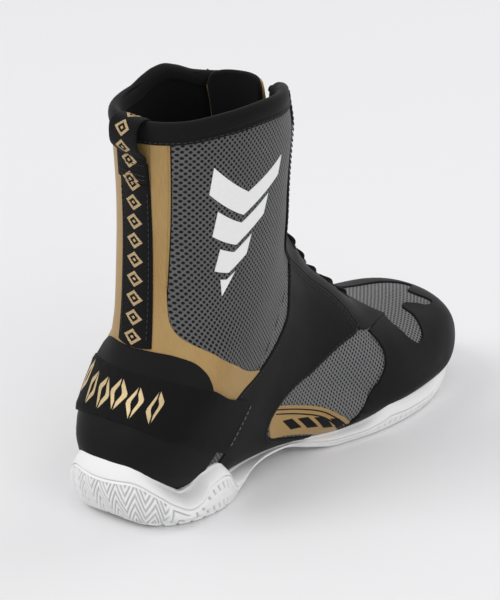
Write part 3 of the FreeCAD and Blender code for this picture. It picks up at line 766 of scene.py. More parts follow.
# ------------------------------------------------------------ camera, floor and light
def add_item(name, data, spot, target):
    """Camera or light at a spot, aimed at a target."""
    item = bpy.data.objects.new(name, data)
    item.location = spot
    item.rotation_euler = (Vector(target) - Vector(spot)).to_track_quat("-Z", "Y").to_euler()
    bpy.context.scene.collection.objects.link(item)
    return item


def set_camera():
    """Three-quarter view from behind on the medial side, a little above."""
    azimuth, elevation, distance = math.radians(38), math.radians(22.5), 1.548
    back = Vector((math.sin(azimuth) * math.cos(elevation),
                   -math.cos(azimuth) * math.cos(elevation), math.sin(elevation)))
    low, high = CAD_BOX
    target = (Vector(low) + Vector(high)) / 2 + Vector((4.6, -22.1, -22.9)) * MM
    data = bpy.data.cameras.new("camera")
    data.lens = 175.8
    data.sensor_width = 36
    camera = add_item("camera", data, target + back * distance, target)
    bpy.context.scene.camera = camera


def add_light(name, spot, size, power):
    """Square soft box aimed at the boot."""
    data = bpy.data.lights.new(name, "AREA")
    data.size = size
    data.energy = power
    add_item(name, data, spot, (0, 0, 0.1))


def set_stage():
    """Pale floor and even studio light."""
    shade = Shade("floor", 0.85, Specular_IOR_Level=0.2)
    shade.colour((0.83, 0.83, 0.835))
    mesh = bpy.data.meshes.new("floor")
    reach = 30.0
    spots = [(x * reach, y * reach, 0) for x, y in ((-1, -1), (1, -1), (1, 1), (-1, 1))]
    mesh.from_pydata(spots, [], [(0, 1, 2, 3)])
    mesh.materials.append(shade.material)
    floor = bpy.data.objects.new("floor", mesh)
    floor.location.z = -0.0001
    bpy.context.scene.collection.objects.link(floor)
    world = bpy.data.worlds.new("studio")
    world.use_nodes = True
    colour, strength = list(world.node_tree.nodes["Background"].inputs)[:2]
    colour.default_value = (0.97, 0.97, 0.985, 1)
    strength.default_value = 0.68
    bpy.context.scene.world = world
    add_light("key", (-1.1, -1.5, 1.9), 1.4, 22)
    add_light("fill", (1.9, -0.9, 1.2), 1.6, 12)
    add_light("rim", (0.3, 1.9, 1.7), 1.5, 12)
    scene = bpy.context.scene
    scene.view_settings.view_transform = "Standard"
    scene.view_settings.exposure = 0.0


set_camera()
set_stage()

# ------------------------------------------------------------ base cloth
SHAFT = corners([(10.0, 139)], [(10.6, 149), (11.2, 157.4)], [(TOP, 157.4)],
                [(TOP, 50), (15.62, 30), (15.4, THROAT)], [(10.0, THROAT)])
QUARTER = straight([(5.04, THROAT), (9.97, THROAT), (9.97, 139), (5.04, 139)])
VAMP = straight([(0.15, -139), (0.15, 139), (5.0, 139), (5.0, -139)])
BACK = straight([(10.9, 158.2), (TOP, 158.2), (TOP, 201.8), (10.9, 201.8)])

# ------------------------------------------------------------ overlays
TOE_TOP = [(6.4, 124), (6.2, 111), (5.95, 92), (5.7, 80), (5.6, 70), (5.65, 62), (5.9, 54)]
# the toe's upper edge, two fingers on the medial side and a plain sweep on the lateral one
TOE = corners(
    [(6.75, 136)],
    TOE_TOP,
    [(5.2, 42), (4.62, 35)],
    [(4.7, 41), (4.57, 51), (4.43, 60), (4.2, 65.5), (3.95, 62), (3.78, 53), (3.70, 42),
     (3.76, 33), (3.55, 30), (3.2, 34), (2.8, 40.5), (2.45, 40), (2.55, 34), (2.75, 26),
     (2.8, 20), (2.5, 16.5), (2.22, 13), (2.3, 7), (2.65, 0), (3.2, -5), (4.0, -8), (5.0, -9)],
    [(4.62, -35)],
    [(5.2, -42), (5.9, -54)],
    mirrored(TOE_TOP[-2::-1]) + [(6.75, -136)],
    [(0.2, -136)],
    [(0.2, 136)],
)
EYESTAY_EDGE = [(6.7, 49), (7.2, 42.5), (8.35, 38), (9.85, 36.5), (11, 39), (13, 40), (TOP, 40)]
EYESTAY = corners([(5.3, THROAT)], [(5.15, 22), (4.9, 29), (4.6, 35.5)],
                  [(5.2, 42.5), (5.95, 53.5), (6.35, 58)], EYESTAY_EDGE,
                  [(15.62, 28), (15.4, THROAT)])
DIAGONAL = corners(
    [(6.55, 47), (7.2, 39), (8.35, 34.5), (9.85, 33), (10.1, 33)],
    [(9.97, 40), (9.8, 50), (9.5, 62), (9.62, 72), (9.9, 84), (10.2, 95), (10.3, 102)],
    [(9.78, 110), (9.62, 122), (9.62, 130), (9.7, 138), (9.7, 146)],
    [(7.1, 146)],
    [(7.1, 140)],
    [(7.55, 135), (8.05, 130.5), (8.42, 125), (8.55, 117), (8.4, 106), (7.7, 88), (7.1, 74),
     (6.5, 61.5), (6.25, 53)],
)


def gold_flare(top_angle, *edge):
    """Gold border from an angle at its top: down its front edge and back up its rear one."""
    return corners(
        [*edge, (12.65, 138), (12.23, 125.5), (11.65, 110), (10.88, 94), (10.1, 86.5),
         (9.9, 85)],
        [(9.9, 101)],
        [(10.7, 106), (11.2, 113), (11.9, 126), (12.25, 140), (12.4, 155), (12.5, 172)],
        [(TOP, 172)],
        [(TOP, top_angle)],
    )


GOLD_FLARE = gold_flare(159.5, (14.5, 159.6), (13.8, 158), (13.3, 154.5), (13.0, 148.5))
GOLD_LATERAL = gold_flare(141, (14.5, 141.5), (13.9, 143), (13.4, 145), (13.0, 144.5))
COLLAR_TOP = [(10.8, 112.5), (11.13, 111), (11.5, 115.5), (11.88, 124), (12.25, 135),
              (12.6, 150.5), (12.76, 166), (12.78, 180)]
COLLAR_LOW = [(10.8, 112.5), (11.1, 117.5), (11.5, 128.5), (11.95, 146), (12.1, 164),
              (12.15, 180)]
HEEL_TOP = [(9.9, 111), (10.5, 114), (11.25, 125), (11.8, 143), (12.02, 162), (12.08, 180)]
HEEL_LOW = [(9.9, 122), (9.84, 130), (9.72, 138), (9.8, 147), (10.1, 155), (10.4, 161),
            (10.68, 170), (10.8, 180)]
BAND_TOP = [(9.7, 99), (9.95, 98.3), (10.5, 102.5), (11.1, 110), (11.78, 131), (12.18, 153),
            (12.32, 168), (12.34, 180)]
BAND_LOW = [(9.64, 122), (10.1, 121.5), (10.7, 125.5), (11.1, 136), (11.38, 147.5),
            (11.57, 165), (11.6, 180)]
ARCH_TOP = [(8.5, 107.5), (7.9, 112.5), (7.35, 117.5), (7.0, 123), (6.65, 129), (6.35, 135.5)]
ARCH_LOW = [(6.75, 139), (7.1, 137.5), (7.5, 133.5), (7.9, 130.5), (8.3, 128.5)]


def sheet(node, chains, inner, outer, material, slot_name, **options):
    """The piece that stands for one CAD sheet."""
    panel(node + "_visual", outline(*chains), inner, outer, material, slot_name, (node,),
          **options)


def both_sides(label, chains, inner, outer, material, slot_name, **options):
    """A medial piece and its mirror image."""
    for side, turned in (("medial", chains), ("lateral", [mirrored(c) for c in chains])):
        sheet(label + "_" + side, turned, inner, outer, material, slot_name, **options)


def round_back(top, low):
    """Closed chains between two edges that both run round the back."""
    upper, lower = around_back(top), around_back(low)
    return [upper, [upper[-1], lower[-1]], lower[::-1], [lower[0], upper[0]]]


def band_ridges(spots, near):
    """Raised cords woven along both edges of the heel band."""
    ends = bell(np.abs(spots[:, 1] - 180), 1, 81, 4)
    ridge = bell(near, 1, 1.3, 0.45) + bell(near, 1, 3.0, 0.45)
    return 0.42 * ridge * (1 - np.clip(1.4 * ends, 0, 1)) - 0.1


def build_shell():
    """Grey mesh, gold cloth and black overlays."""
    sheet("vamp_mesh", VAMP, -1.0, 0.0, MESH, "mesh_grey", uv_of=foot_uv)
    both_sides("quarter_mesh", QUARTER, -1.0, 0.0, MESH, "mesh_grey", uv_of=side_uv)
    both_sides("shaft_mesh", SHAFT, -1.0, 0.0, LEG_MESH, "mesh_grey", uv_of=side_uv)
    sheet("back_panel", BACK, -1.0, 0.1, GOLD, "gold_panel")
    sheet("toe_overlay", TOE, -0.1, 1.1, MICRO, "microfibre_black", edge=0.5)
    both_sides("diagonal_overlay", DIAGONAL, -0.1, 1.1, MICRO, "microfibre_black", edge=0.5)
    both_sides("eyestay", EYESTAY, -0.1, 1.3, MICRO, "microfibre_black", edge=0.5)
    sheet("gold_flare_medial", GOLD_FLARE, -0.1, 0.6, GOLD, "gold_panel")
    sheet("gold_flare_lateral", [mirrored(c) for c in GOLD_LATERAL], -0.1, 0.6, GOLD,
          "gold_panel")
    sheet("heel_collar_overlay", round_back(COLLAR_TOP, COLLAR_LOW), -0.1, 1.5, MICRO,
          "microfibre_black", edge=0.5, crown=0.7, crown_width=5)
    sheet("heel_lower_overlay", round_back(HEEL_TOP, HEEL_LOW), -0.1, 1.1, MICRO,
          "microfibre_black", edge=0.5)
    sheet("heel_band", round_back(BAND_TOP, BAND_LOW), 0.9, 2.6, ELASTIC, "elastic_black",
          pitch=1.3, edge=0.5, rounds=2, relief=band_ridges)


build_shell()


# ------------------------------------------------------------ marks
def drawn(shape, centre, turn=0.0):
    """Outline of a straight-edged shape (mm: across, up) drawn at a place on the surface."""
    station, angle = centre
    per_station, per_degree = (np.linalg.norm(way) / MM for way in
                               tangents(np.array([station]), np.array([angle])))
    c, q = math.cos(math.radians(turn)), math.sin(math.radians(turn))
    spots = [(station + (x * q + y * c) / per_station, angle + (x * c - y * q) / per_degree)
             for x, y in shape]
    return outline(*straight(spots), pitch=1.0)


def build_emblems():
    """Stacked chevrons in white film on each side of the shaft."""
    slope, thick, gap = 0.42, 10.5, 3.6
    shapes, top = [], 31.0
    widths, tip = (26.0, 18.5, 11.0), 5.0
    for width, after in zip(widths, widths[1:] + (tip,)):
        dip = slope * width
        shapes.append([(-width, top), (0, top - dip), (width, top), (width, top - thick),
                       (0, top - dip - thick), (-width, top - thick)])
        top -= thick + slope * (width - after) + gap
    shapes.append([(-tip, top), (0, top - slope * tip), (tip, top), (0, top - 11)])
    station, angle, turn = 14.25, 112, 14
    for side, sign in SIDES:
        loops = [drawn([(sign * x, y) for x, y in shape], (station, sign * angle), sign * turn)
                 for shape in shapes]
        panel("emblem_%s_visual" % side, loops, 0.02, 0.4, FILM, "emblem_white",
              ("emblem_" + side,), edge=0.15)


def build_band_marks():
    """Row of split lozenges in gold on the heel band."""
    half = [(0.5, 8.6), (4.7, 0.9), (4.7, -0.9), (0.5, -8.6), (0.5, -4.4), (2.0, -0.7),
            (2.0, 0.7), (0.5, 4.4)]
    loops = []
    for angle in 148.5 + 16.0 * np.arange(6):
        centre = (np.interp(abs(angle - 180), (0, 27, 45), (11.97, 11.8, 11.5)), angle)
        loops += [drawn([(sign * x, y) for x, y in half], centre) for sign in (1, -1)]
    panel("band_marks_visual", loops, 2.35, 2.75, GOLD_PRINT, "gold_panel", ("band_bars",),
          edge=0.15)


def strip(path, near, far):
    """Closed outline between two sideways insets (mm) of an open path."""
    return np.vstack([inset(path, near, False), inset(path, far, False)[::-1]])


def build_arch_marks():
    """Gold arch graphic with dark pinstripes and slanted bars."""
    arch = corners(ARCH_TOP[1:], ARCH_LOW, [(8.5, 118), (8.5, 107.5)])
    both_sides("arch_panel", arch, -0.1, 0.6, GOLD, "gold_panel")
    slanted = ((0, 0), (-0.22, 0.8), (-0.5, 8.2), (-0.28, 7.6))
    bars = [[(high + s, top + a) for s, a in slanted]
            for high, top in ((8.2, 119.0), (7.85, 121.0), (7.5, 123.0), (7.15, 125.5))]
    for side, sign in SIDES:
        edge = smooth([(s, sign * a) for s, a in ARCH_TOP], 1.0)
        loops = [strip(edge, -sign * near, -sign * (near + 0.65)) for near in (1.6, 3.9)]
        for bar in bars:
            loops.append(outline(*straight([(s, sign * a) for s, a in bar]), pitch=1.0))
        panel("arch_marks_" + side, loops, 0.55, 0.8, MICRO, "microfibre_black", edge=0.12)


build_emblems()
build_band_marks()
build_arch_marks()


# ------------------------------------------------------------ strap and pull loop
STRAP_HALF = 10.4
WEBBING_THICK = 0.6         # half of it
# side view of the loop over the collar: pattern length and height
LOOP_SIDE = [(30.0, 189.5), (29.0, 194.5), (29.4, 199.0), (32.8, 202.6), (38.4, 202.6),
             (42.2, 199.2), (43.6, 193), (43.4, 184), (42.6, 174)]
ACROSS = np.array([-1, -0.985, -0.94, -0.8, -0.5, -0.2, 0.2, 0.5, 0.8, 0.94, 0.985, 1])


def strap_middle(station):
    """Angle of the strap's middle, which drifts to the lateral side going up."""
    return 181.5 + 4.6 * (station - 12.75) / 2.35


def on_back(stations, lift):
    """Rows of webbing laid on the back of the shaft, and their outward directions."""
    rows, outs = [], []
    for station in stations:
        middle = strap_middle(station)
        per_degree = np.linalg.norm(tangents(np.array([station]), np.array([middle]))[1]) / MM
        angles = middle + ACROSS * STRAP_HALF / per_degree
        spots = np.stack([np.full(len(ACROSS), station), angles], -1)
        rows.append(form(spots, lift))
        outs.append(normals(spots))
    return rows, outs


def webbing(name, rows, outs, node, start=0.0):
    """Closed ribbon with rounded edges from rows across it; its pattern starts at a length."""
    rows, outs = np.array(rows), np.array(outs)
    thick = (WEBBING_THICK * (1 - np.abs(ACROSS) ** 14) ** 0.5 * MM)[None, :, None]
    rings = np.concatenate([rows - outs * thick, (rows + outs * thick)[:, ::-1]], axis=1)
    across = np.concatenate([ACROSS, ACROSS[::-1]]) * STRAP_HALF
    uv = grid_uv(across, start + reach_along(rows.mean(1)) / MM)
    item = make_object(name, rings.reshape(-1, 3), tube_mesh(rings), WEBBING, uv, 60)
    settle(item, "boot", (node,))


def build_strap():
    """Webbing up the back, and a loop sewn over its end that goes over the collar and in."""
    webbing("back_strap_visual", *on_back(np.arange(12.8, 15.6, 0.03), 0.85), "back_strap")
    rows, outs = on_back(np.arange(15.36, 15.66, 0.03), 2.1)
    before, last = rows[-3].mean(0), rows[-1].mean(0)
    lengths, heights = np.array(LOOP_SIDE, float).T
    path = place(np.zeros(len(lengths)), lengths, heights)
    path[:, 0] = last[0]
    path = rounded(np.vstack([before[None], last[None], path]))
    reach, step = reach_along(path), 0.0012
    wanted = np.arange(np.linalg.norm(last - before) + step, reach[-1], step)
    path = at_lengths(path, reach, wanted)
    across = unit(rows[-1][-1] - rows[-1][0])
    flat = np.array([-1.0, 0, 0])
    bow = rows[-1] - last - np.outer(ACROSS * STRAP_HALF * MM, across)
    for i, (spot, along_way) in enumerate(zip(path, unit(np.gradient(path, axis=0)))):
        keep = math.exp(-i / 9.0)       # how much of the shaft's curve the webbing still has
        sideways = unit(flat * 0.5 * (1 - keep) + across * (0.5 + 0.5 * keep))
        half = (STRAP_HALF - 1.2 * (1 - keep)) * MM
        rows.append(spot + np.outer(ACROSS * half, sideways) + bow * keep)
        out = np.cross(along_way, sideways)
        out *= np.sign(np.dot(out, outs[-1][6])) or 1
        outs.append(np.tile(out, (len(ACROSS), 1)))
    webbing("pull_loop_visual", rows, outs, "pull_loop", 4.0)
    bars = [[(u, strap_middle(u) + side * 13.0) for side in (-1, 1)]
            for u in (15.41, 15.46, 15.58)]
    stitches("loop_stitching", bars, 2.75, THREAD, 1.5, 0.5)
    edges = [[(u, strap_middle(u) + side * 12.6) for u in np.arange(12.95, 15.3, 0.05)]
             for side in (-1, 1)]
    stitches("strap_stitching", edges, 1.5, THREAD)


build_strap()


# ------------------------------------------------------------ collar roll
# station of the collar's rim at angles round it, and the roll's section (mm: out, up)
RIM = [(13, 15.72), (30, 15.95), (60, 16.22), (90, 16.28), (120, 16.2), (150, 16.1),
       (180, 16.06), (210, 16.04), (240, 15.99), (262, 15.97), (275, 16.06), (284, 16.14),
       (291, 16.17), (300, 16.1), (312, 15.93), (328, 15.85), (347, 15.86)]
ROLL = [(0.9, -4.4), (1.3, -2.6), (1.25, -0.4), (0.4, 2.2), (-1.6, 3.6), (-3.8, 2.8),
        (-5.2, 0.6), (-5.4, -2.4), (-4.9, -4.8), (-2.0, -5.4)]


def build_collar():
    """Padded roll round the collar, with a flat stitched band below it."""
    angles = np.linspace(13.5, 346.5, 260)
    top = steady(RIM)(angles)
    spots = np.stack([top, angles], -1)
    along = tangents(top, angles)[0]
    up, out, base = unit(along), normals(spots), form(spots)
    profile = rounded(np.array(ROLL, float), True)[:-1:8]
    front = bell(angles, 1, 13, 20)
    ends = np.minimum(angles - 13.4, 346.6 - angles) * 0.62
    cap = np.sqrt(1 - (1 - np.clip(ends / 3.4, 0, 1)) ** 2)
    centre = np.array([-2.0, -0.9])
    fat = (1 + 0.22 * front) * np.clip(cap, 0.02, 1)
    local = centre + (profile - centre) * fat[:, None, None]
    local[..., 1] -= 3.4 + 1.0 * front[:, None]
    rings = base[:, None] + (out[:, None] * local[..., :1] + up[:, None] * local[..., 1:]) * MM
    uv = grid_uv(np.linspace(0, 28, len(profile)), reach_along(base) / MM)
    item = make_object("collar_roll_visual", rings.reshape(-1, 3), tube_mesh(rings), PADDING, uv,
                       None)
    settle(item, "boot", ("collar_binding",))
    drop = np.linalg.norm(along, axis=1) / MM
    low, high, seam = (np.stack([top - below / drop, angles], -1) for below in (11.2, 6.0, 9.9))
    panel("collar_band_visual", np.vstack([low, high[::-1]]), 0.05, 1.0, PADDING, "padding_black",
          edge=0.4, pitch=2.0)
    stitches("collar_stitching", [seam], 1.05, THREAD)


build_collar()


# ------------------------------------------------------------ linings
def band_between(front, rear, first, last):
    """Chains of a panel between two angles and two stations."""
    return straight([(first, front), (first, rear), (last, rear), (last, front)])


def build_linings():
    """Black tricot inside the boot, and the removable insole."""
    shaft = corners([(9.5, 140)],
                    [(10.2, 146), (10.8, 158), (11.4, 171), (12.2, 178.5), (12.6, 179.6)],
                    [(15.9, 179.6)], [(15.9, 50), (15.6, 30), (15.4, THROAT)], [(9.5, THROAT)])
    both_sides("shaft_lining", shaft, -4.5, -3.7, LINING, "lining_black", pitch=4)
    pad = corners([(14.1, 160)], [(15.5, 160)], [(15.5, 45), (15.1, 30)], [(14.1, 30)])
    both_sides("collar_pad", pad, -3.6, -1.1, PADDING, "padding_black", pitch=4, edge=1.0)
    both_sides("foot_lining", band_between(THROAT, 138, 5.04, 9.45), -2.9, -2.1, LINING,
               "lining_black", pitch=4)
    sheet("toe_lining", band_between(-143, 143, 0.8, 5.0), -2.9, -2.1, LINING, "lining_black",
          pitch=4)
    sheet("sockliner", band_between(149, 211, 1.2, 10.25), -5.1, -2.8, LINING, "lining_black",
          pitch=3, belly=0.6)


build_linings()


# ------------------------------------------------------------ tongue
def tongue_side(side, first, last, trim=0.0):
    """Places up one side of the tongue, which leans to the lateral side at its top."""
    chain = []
    for station in np.linspace(first, last, 7):
        lean = 17 * max(0.0, (station - 10) / 6)
        chain.append((station, side * (34 - trim - 0.55 * lean) - lean))
    return chain


def tongue_loop(first, last, trim=0.0, rise=0.0):
    """Closed outline of the tongue or of a patch on it."""
    left, right = tongue_side(-1, first, last, trim), tongue_side(1, first, last, trim)
    start, end = left[-1][1], right[-1][1]
    top = [(last + up, start + share * (end - start))
           for up, share in ((-0.03, 0.06), (rise * 0.7, 0.22), (rise, 0.5), (rise * 0.7, 0.8),
                             (-0.03, 0.94))]
    top = [(last - 0.28, start - 0.2), *top, (last - 0.28, end + 0.2)]
    left = [spot for spot in left if spot[0] < last - 0.4] + top[:1]
    right = [spot for spot in right if spot[0] < last - 0.4] + top[-1:]
    return outline(left, top, right[::-1], [right[0], left[0]], pitch=1.8)


def build_tongue():
    """Padded tongue with a gold patch at its top, a bound edge and a lace keeper."""
    body = panel("tongue_visual", tongue_loop(5.4, 15.86, rise=0.1), -10.2, -6.4, PADDING,
                 "padding_black",
                 ("tongue_face", "tongue_foam", "tongue_lining", "tongue_binding"), "tongue",
                 edge=1.5, rounds=3, crown=0.9, crown_width=9, belly=0.3)
    panel("tongue_patch", tongue_loop(13.9, 15.78, -0.3, 0.05), -6.9, -5.3, GOLD, "gold_panel",
          body="tongue", edge=0.4)
    sheet("lace_keeper", band_between(-7, 7, 11.85, 12.45), -5.6, -4.6, WEBBING_PLAIN,
          "padding_black", body="tongue", edge=0.4, rounds=2)


build_tongue()


# ------------------------------------------------------------ lace
EYELET_STATIONS = (5.6, 6.3, 7.1, 8.05, 9.1, 10.3, 11.4, 12.4, 13.4, 14.4, 15.3)
EYELET_ANGLE = 20.0
LACE_RADIUS = 1.3


def strand(side):
    """Places (station, angle, offset) of one half of the lace, from its bottom eyelet up."""
    places = []
    for i, (low, high) in enumerate(zip(EYELET_STATIONS, EYELET_STATIONS[1:])):
        a = side if i % 2 == 0 else -side
        over = -0.2 if a > 0 else -2.9
        step = high - low
        places += [(low, a * EYELET_ANGLE, 0.6), (low + 0.05 * step, a * 18.6, 2.3),
                   (low + 0.17 * step, a * 14.0, 1.5), (low + 0.5 * step, 0, over),
                   (low + 0.80 * step, -a * 10.5, -2.2), (low + 0.93 * step, -a * 15.5, -2.6),
                   (high, -a * 20.6, -1.6)]
    last = side if len(EYELET_STATIONS) % 2 == 1 else -side
    places += [(EYELET_STATIONS[-1], last * EYELET_ANGLE, 1.6), (15.34, last * 18.0, 2.5),
               (15.45, last * 13.0, 1.8), (15.5, last * 10.0, -1.0), (15.45, last * 12.0, -3.2)]
    return places


def build_eyelets():
    """Black metal ring round each lace hole: a bead turned round the hole's middle."""
    turn = np.linspace(0, 2 * math.pi, 20, endpoint=False)
    bead = turn[::2]
    reach, lift = (2.3 + 0.75 * np.cos(bead)) * MM, 0.5 * np.sin(bead) * MM
    for side, sign in SIDES:
        verts, faces = [], []
        for station in EYELET_STATIONS:
            spot = np.array([[station, sign * EYELET_ANGLE]])
            along, across = (unit(way[0]) for way in tangents(spot[:, 0], spot[:, 1]))
            middle, out = form(spot, 1.35)[0], normals(spot)[0]
            for spoke in np.cos(turn)[:, None] * along + np.sin(turn)[:, None] * across:
                verts += (middle + np.outer(reach, spoke) + np.outer(lift, out)).tolist()
            first, count = len(verts) - len(turn) * len(bead), len(bead)
            for i in range(len(turn)):
                a, b = first + i * count, first + (i + 1) % len(turn) * count
                faces += [(a + j, b + j, b + (j + 1) % count, a + (j + 1) % count)
                          for j in range(count)]
        item = make_object("eyelets_%s_visual" % side, verts, faces, EYELET)
        settle(item, "boot", ("eyelets_" + side,))


def build_lace():
    """One braided lace: a straight bar at the bottom, then criss-cross, its ends tucked in."""
    first = EYELET_STATIONS[0]
    bar = [(first - 0.04, 17.5, 2.4), (first - 0.07, 10, 1.9), (first - 0.08, 0, 1.7),
           (first - 0.07, -10, 1.9), (first - 0.04, -17.5, 2.4)]
    places = np.array(strand(1)[::-1] + bar + strand(-1))
    path, sides = rounded(form(places[:, :2], places[:, 2])), 10
    reach = reach_along(path)
    wanted = np.arange(0, reach[-1], 0.8 * MM)
    radii = np.full(len(wanted), LACE_RADIUS * MM)
    rings = tube_rings(at_lengths(path, reach, wanted), radii, sides)
    uv = grid_uv(np.linspace(0, 1, sides, endpoint=False), wanted / MM)
    item = make_object("lace_visual", rings.reshape(-1, 3), tube_mesh(rings), LACE, uv, None)
    settle(item, "boot", ("lace",))


build_eyelets()
build_lace()


# ------------------------------------------------------------ seams
def build_seams():
    """Stitched edges of the overlays and the band's ends, at insets (mm) from them."""
    edges = ((DIAGONAL[1], 1.6), (DIAGONAL[-1], 1.6), (EYESTAY[3], 1.6), (EYESTAY[3], 3.6),
             (TOE[1][2:], 1.6))
    lines, ends = [], []
    for sign in (1, -1):
        for chain, gap in edges:
            path = smooth([(s, sign * a) for s, a in chain])
            lines.append(inset(path, sign * gap, False))
        ends.append(inset(smooth([(9.7, sign * 100), (9.66, sign * 121)]), -sign * 1.5, False))
    stitches("overlay_stitching", lines, 1.12, THREAD)
    stitches("band_stitching", ends, 2.7, GREY_THREAD)


build_seams()

# ------------------------------------------------------------ outsole
# the plan: pattern length, medial and lateral half widths
PLAN = [(0, 0, 0), (3, 15, 15), (12, 27, 28), (28, 37, 39), (50, 39, 42), (70, 35, 42),
        (90, 30, 41), (115, 30, 42), (145, 39, 48), (170, 46, 52), (195, 48.5, 53),
        (218, 47, 51), (238, 42, 45), (255, 33, 35), (268, 22, 23), (276, 11, 11), (279, 0, 0)]
# heights of the wall's top and of the underside along the length
WALL_TOE = [(195, 12.5), (218, 12), (238, 15), (255, 20), (268, 26), (276, 30), (282, 32)]
WALL_HEEL = [(-2, 36.5), (3, 35.5), (12, 27), (20, 19.5), (28, 15.5), (34, 17), (40, 23.5),
             (50, 25.5)]
WALL_MEDIAL = WALL_HEEL + [(56, 24), (61, 18), (66, 13), (74, 11.2), (90, 11.2), (110, 11.2),
                           (130, 10), (145, 8.5), (160, 8.5), (172, 11), (182, 13.5)] + WALL_TOE
WALL_LATERAL = WALL_HEEL + [(60, 25), (70, 22), (80, 19), (90, 17.5), (110, 17), (130, 15.5),
                            (145, 13.5), (160, 13), (172, 13.5), (182, 15), (195, 13)]
WALL_LATERAL += WALL_TOE[1:]
UNDERSIDE = [(-2, 26), (3, 11), (10, 3), (20, 0), (62, 0), (72, 3), (84, 7), (98, 8.5),
             (115, 7.5), (132, 3), (148, 0), (216, 0), (232, 1.5), (248, 5.5), (264, 12),
             (282, 25)]
HEEL_BACK = [(0, 19), (3, 10), (11, 3), (26, -2), (40, -2)]     # its length at each height
FOOT_BOTTOM = STATIONS[::-1, :2][-10:].T
SPINE_FIRST, SPINE_LAST, SPINE_PITCH = 20, 256.5, 0.75
SOLE_COLUMNS, WALL_ROWS, TREAD_ROWS = 1300, 56, 33
WALL_CUT, TREAD_CUT = 1.2, 1.3      # depths of their grooves
# the lip in mm: in from the outline, and below the wall's top
LIP = ((4.6, 3.5), (4.5, 0.6), (4.0, 0.1), (2.8, 0.0), (1.7, 0.0), (1.2, 0.1), (0.85, 0.4),
       (0.7, 0.9))
SCORE = ((0.75, 0.35), (0.8, 0.7), (0.15, 1.1))                 # line below the smooth band


def sole_outline(count):
    """Plan outline of the sole: points, outward normals and signed way round from the heel."""
    round_way = [(m, s) for s, m, l in PLAN] + [(-l, s) for s, m, l in PLAN[-2:0:-1]]
    dense = rounded(round_way, True)
    run = reach_along(dense)
    wanted = np.linspace(0, run[-1], count, endpoint=False)
    points = at_lengths(dense, run, wanted)
    way = unit(np.roll(points, -2, axis=0) - np.roll(points, 2, axis=0))
    arc = np.where(wanted > run[-1] / 2, wanted - run[-1], wanted)
    return points, np.stack([way[:, 1], -way[:, 0]], -1), arc


def groove(distance, width):
    """Rounded groove of a half width, 1 at its middle."""
    return bell(distance, 1, 0, width)


def grooves(distance, pitch, width):
    """Row of grooves, one at every pitch."""
    turns = distance / pitch
    return groove((turns - np.round(turns)) * pitch, width)


def wall_texture(arc, depth, share, height):
    """Depth (mm) of the moulded grooves on the wall, below the smooth band."""
    a = np.abs(arc)
    lean = 1 - np.abs(2 * ((arc / 10.0) % 1) - 1)
    level = (depth - 12 * lean) / 5.0
    zigzag = groove(np.abs(level - np.round(level)) * 5.0 * 0.39, 0.5) * step_up(-a, -38, -36)
    nested = np.zeros_like(a)
    for k in range(3):
        start, top = 39 + 4.0 * k, 2.2 + 4.8 * k
        upright = groove(a - start, 0.45) * step_up(depth, top - 0.5, top)
        run = groove(depth - top, 0.45) * step_up(a, start - 0.4, start)
        run = run * step_up(-a, -start - 10, -start - 8)
        nested = np.maximum(nested, np.maximum(upright, run))
    ribs = grooves(a - 0.55 * depth, 3.9, 0.55) * step_up(a, 50, 51) * step_up(-a, -92, -88)
    ribs = ribs * np.maximum(step_up(depth, 1.2, 1.8) * step_up(-depth, -6.6, -5.8),
                             step_up(share, 0.74, 0.78))
    front = grooves(arc, 4.4, 0.6) * step_up(a, 170, 176)
    front = front * step_up(share, 0.36, 0.42) * step_up(-share, -0.95, -0.9)
    cuts = np.max(np.broadcast_arrays(zigzag, nested, ribs, front), axis=0)
    return WALL_CUT * cuts * step_up(depth, 0.6, 1.4) * step_up(height, 7, 9)


def tread(side, along):
    """Height (mm) of the herringbone tread's grooves above the underside."""
    lean = np.abs(2 * (((side + 100) / 17.0) % 1) - 1) * 7.0
    return TREAD_CUT * grooves(along + lean, 5.6, 0.85)


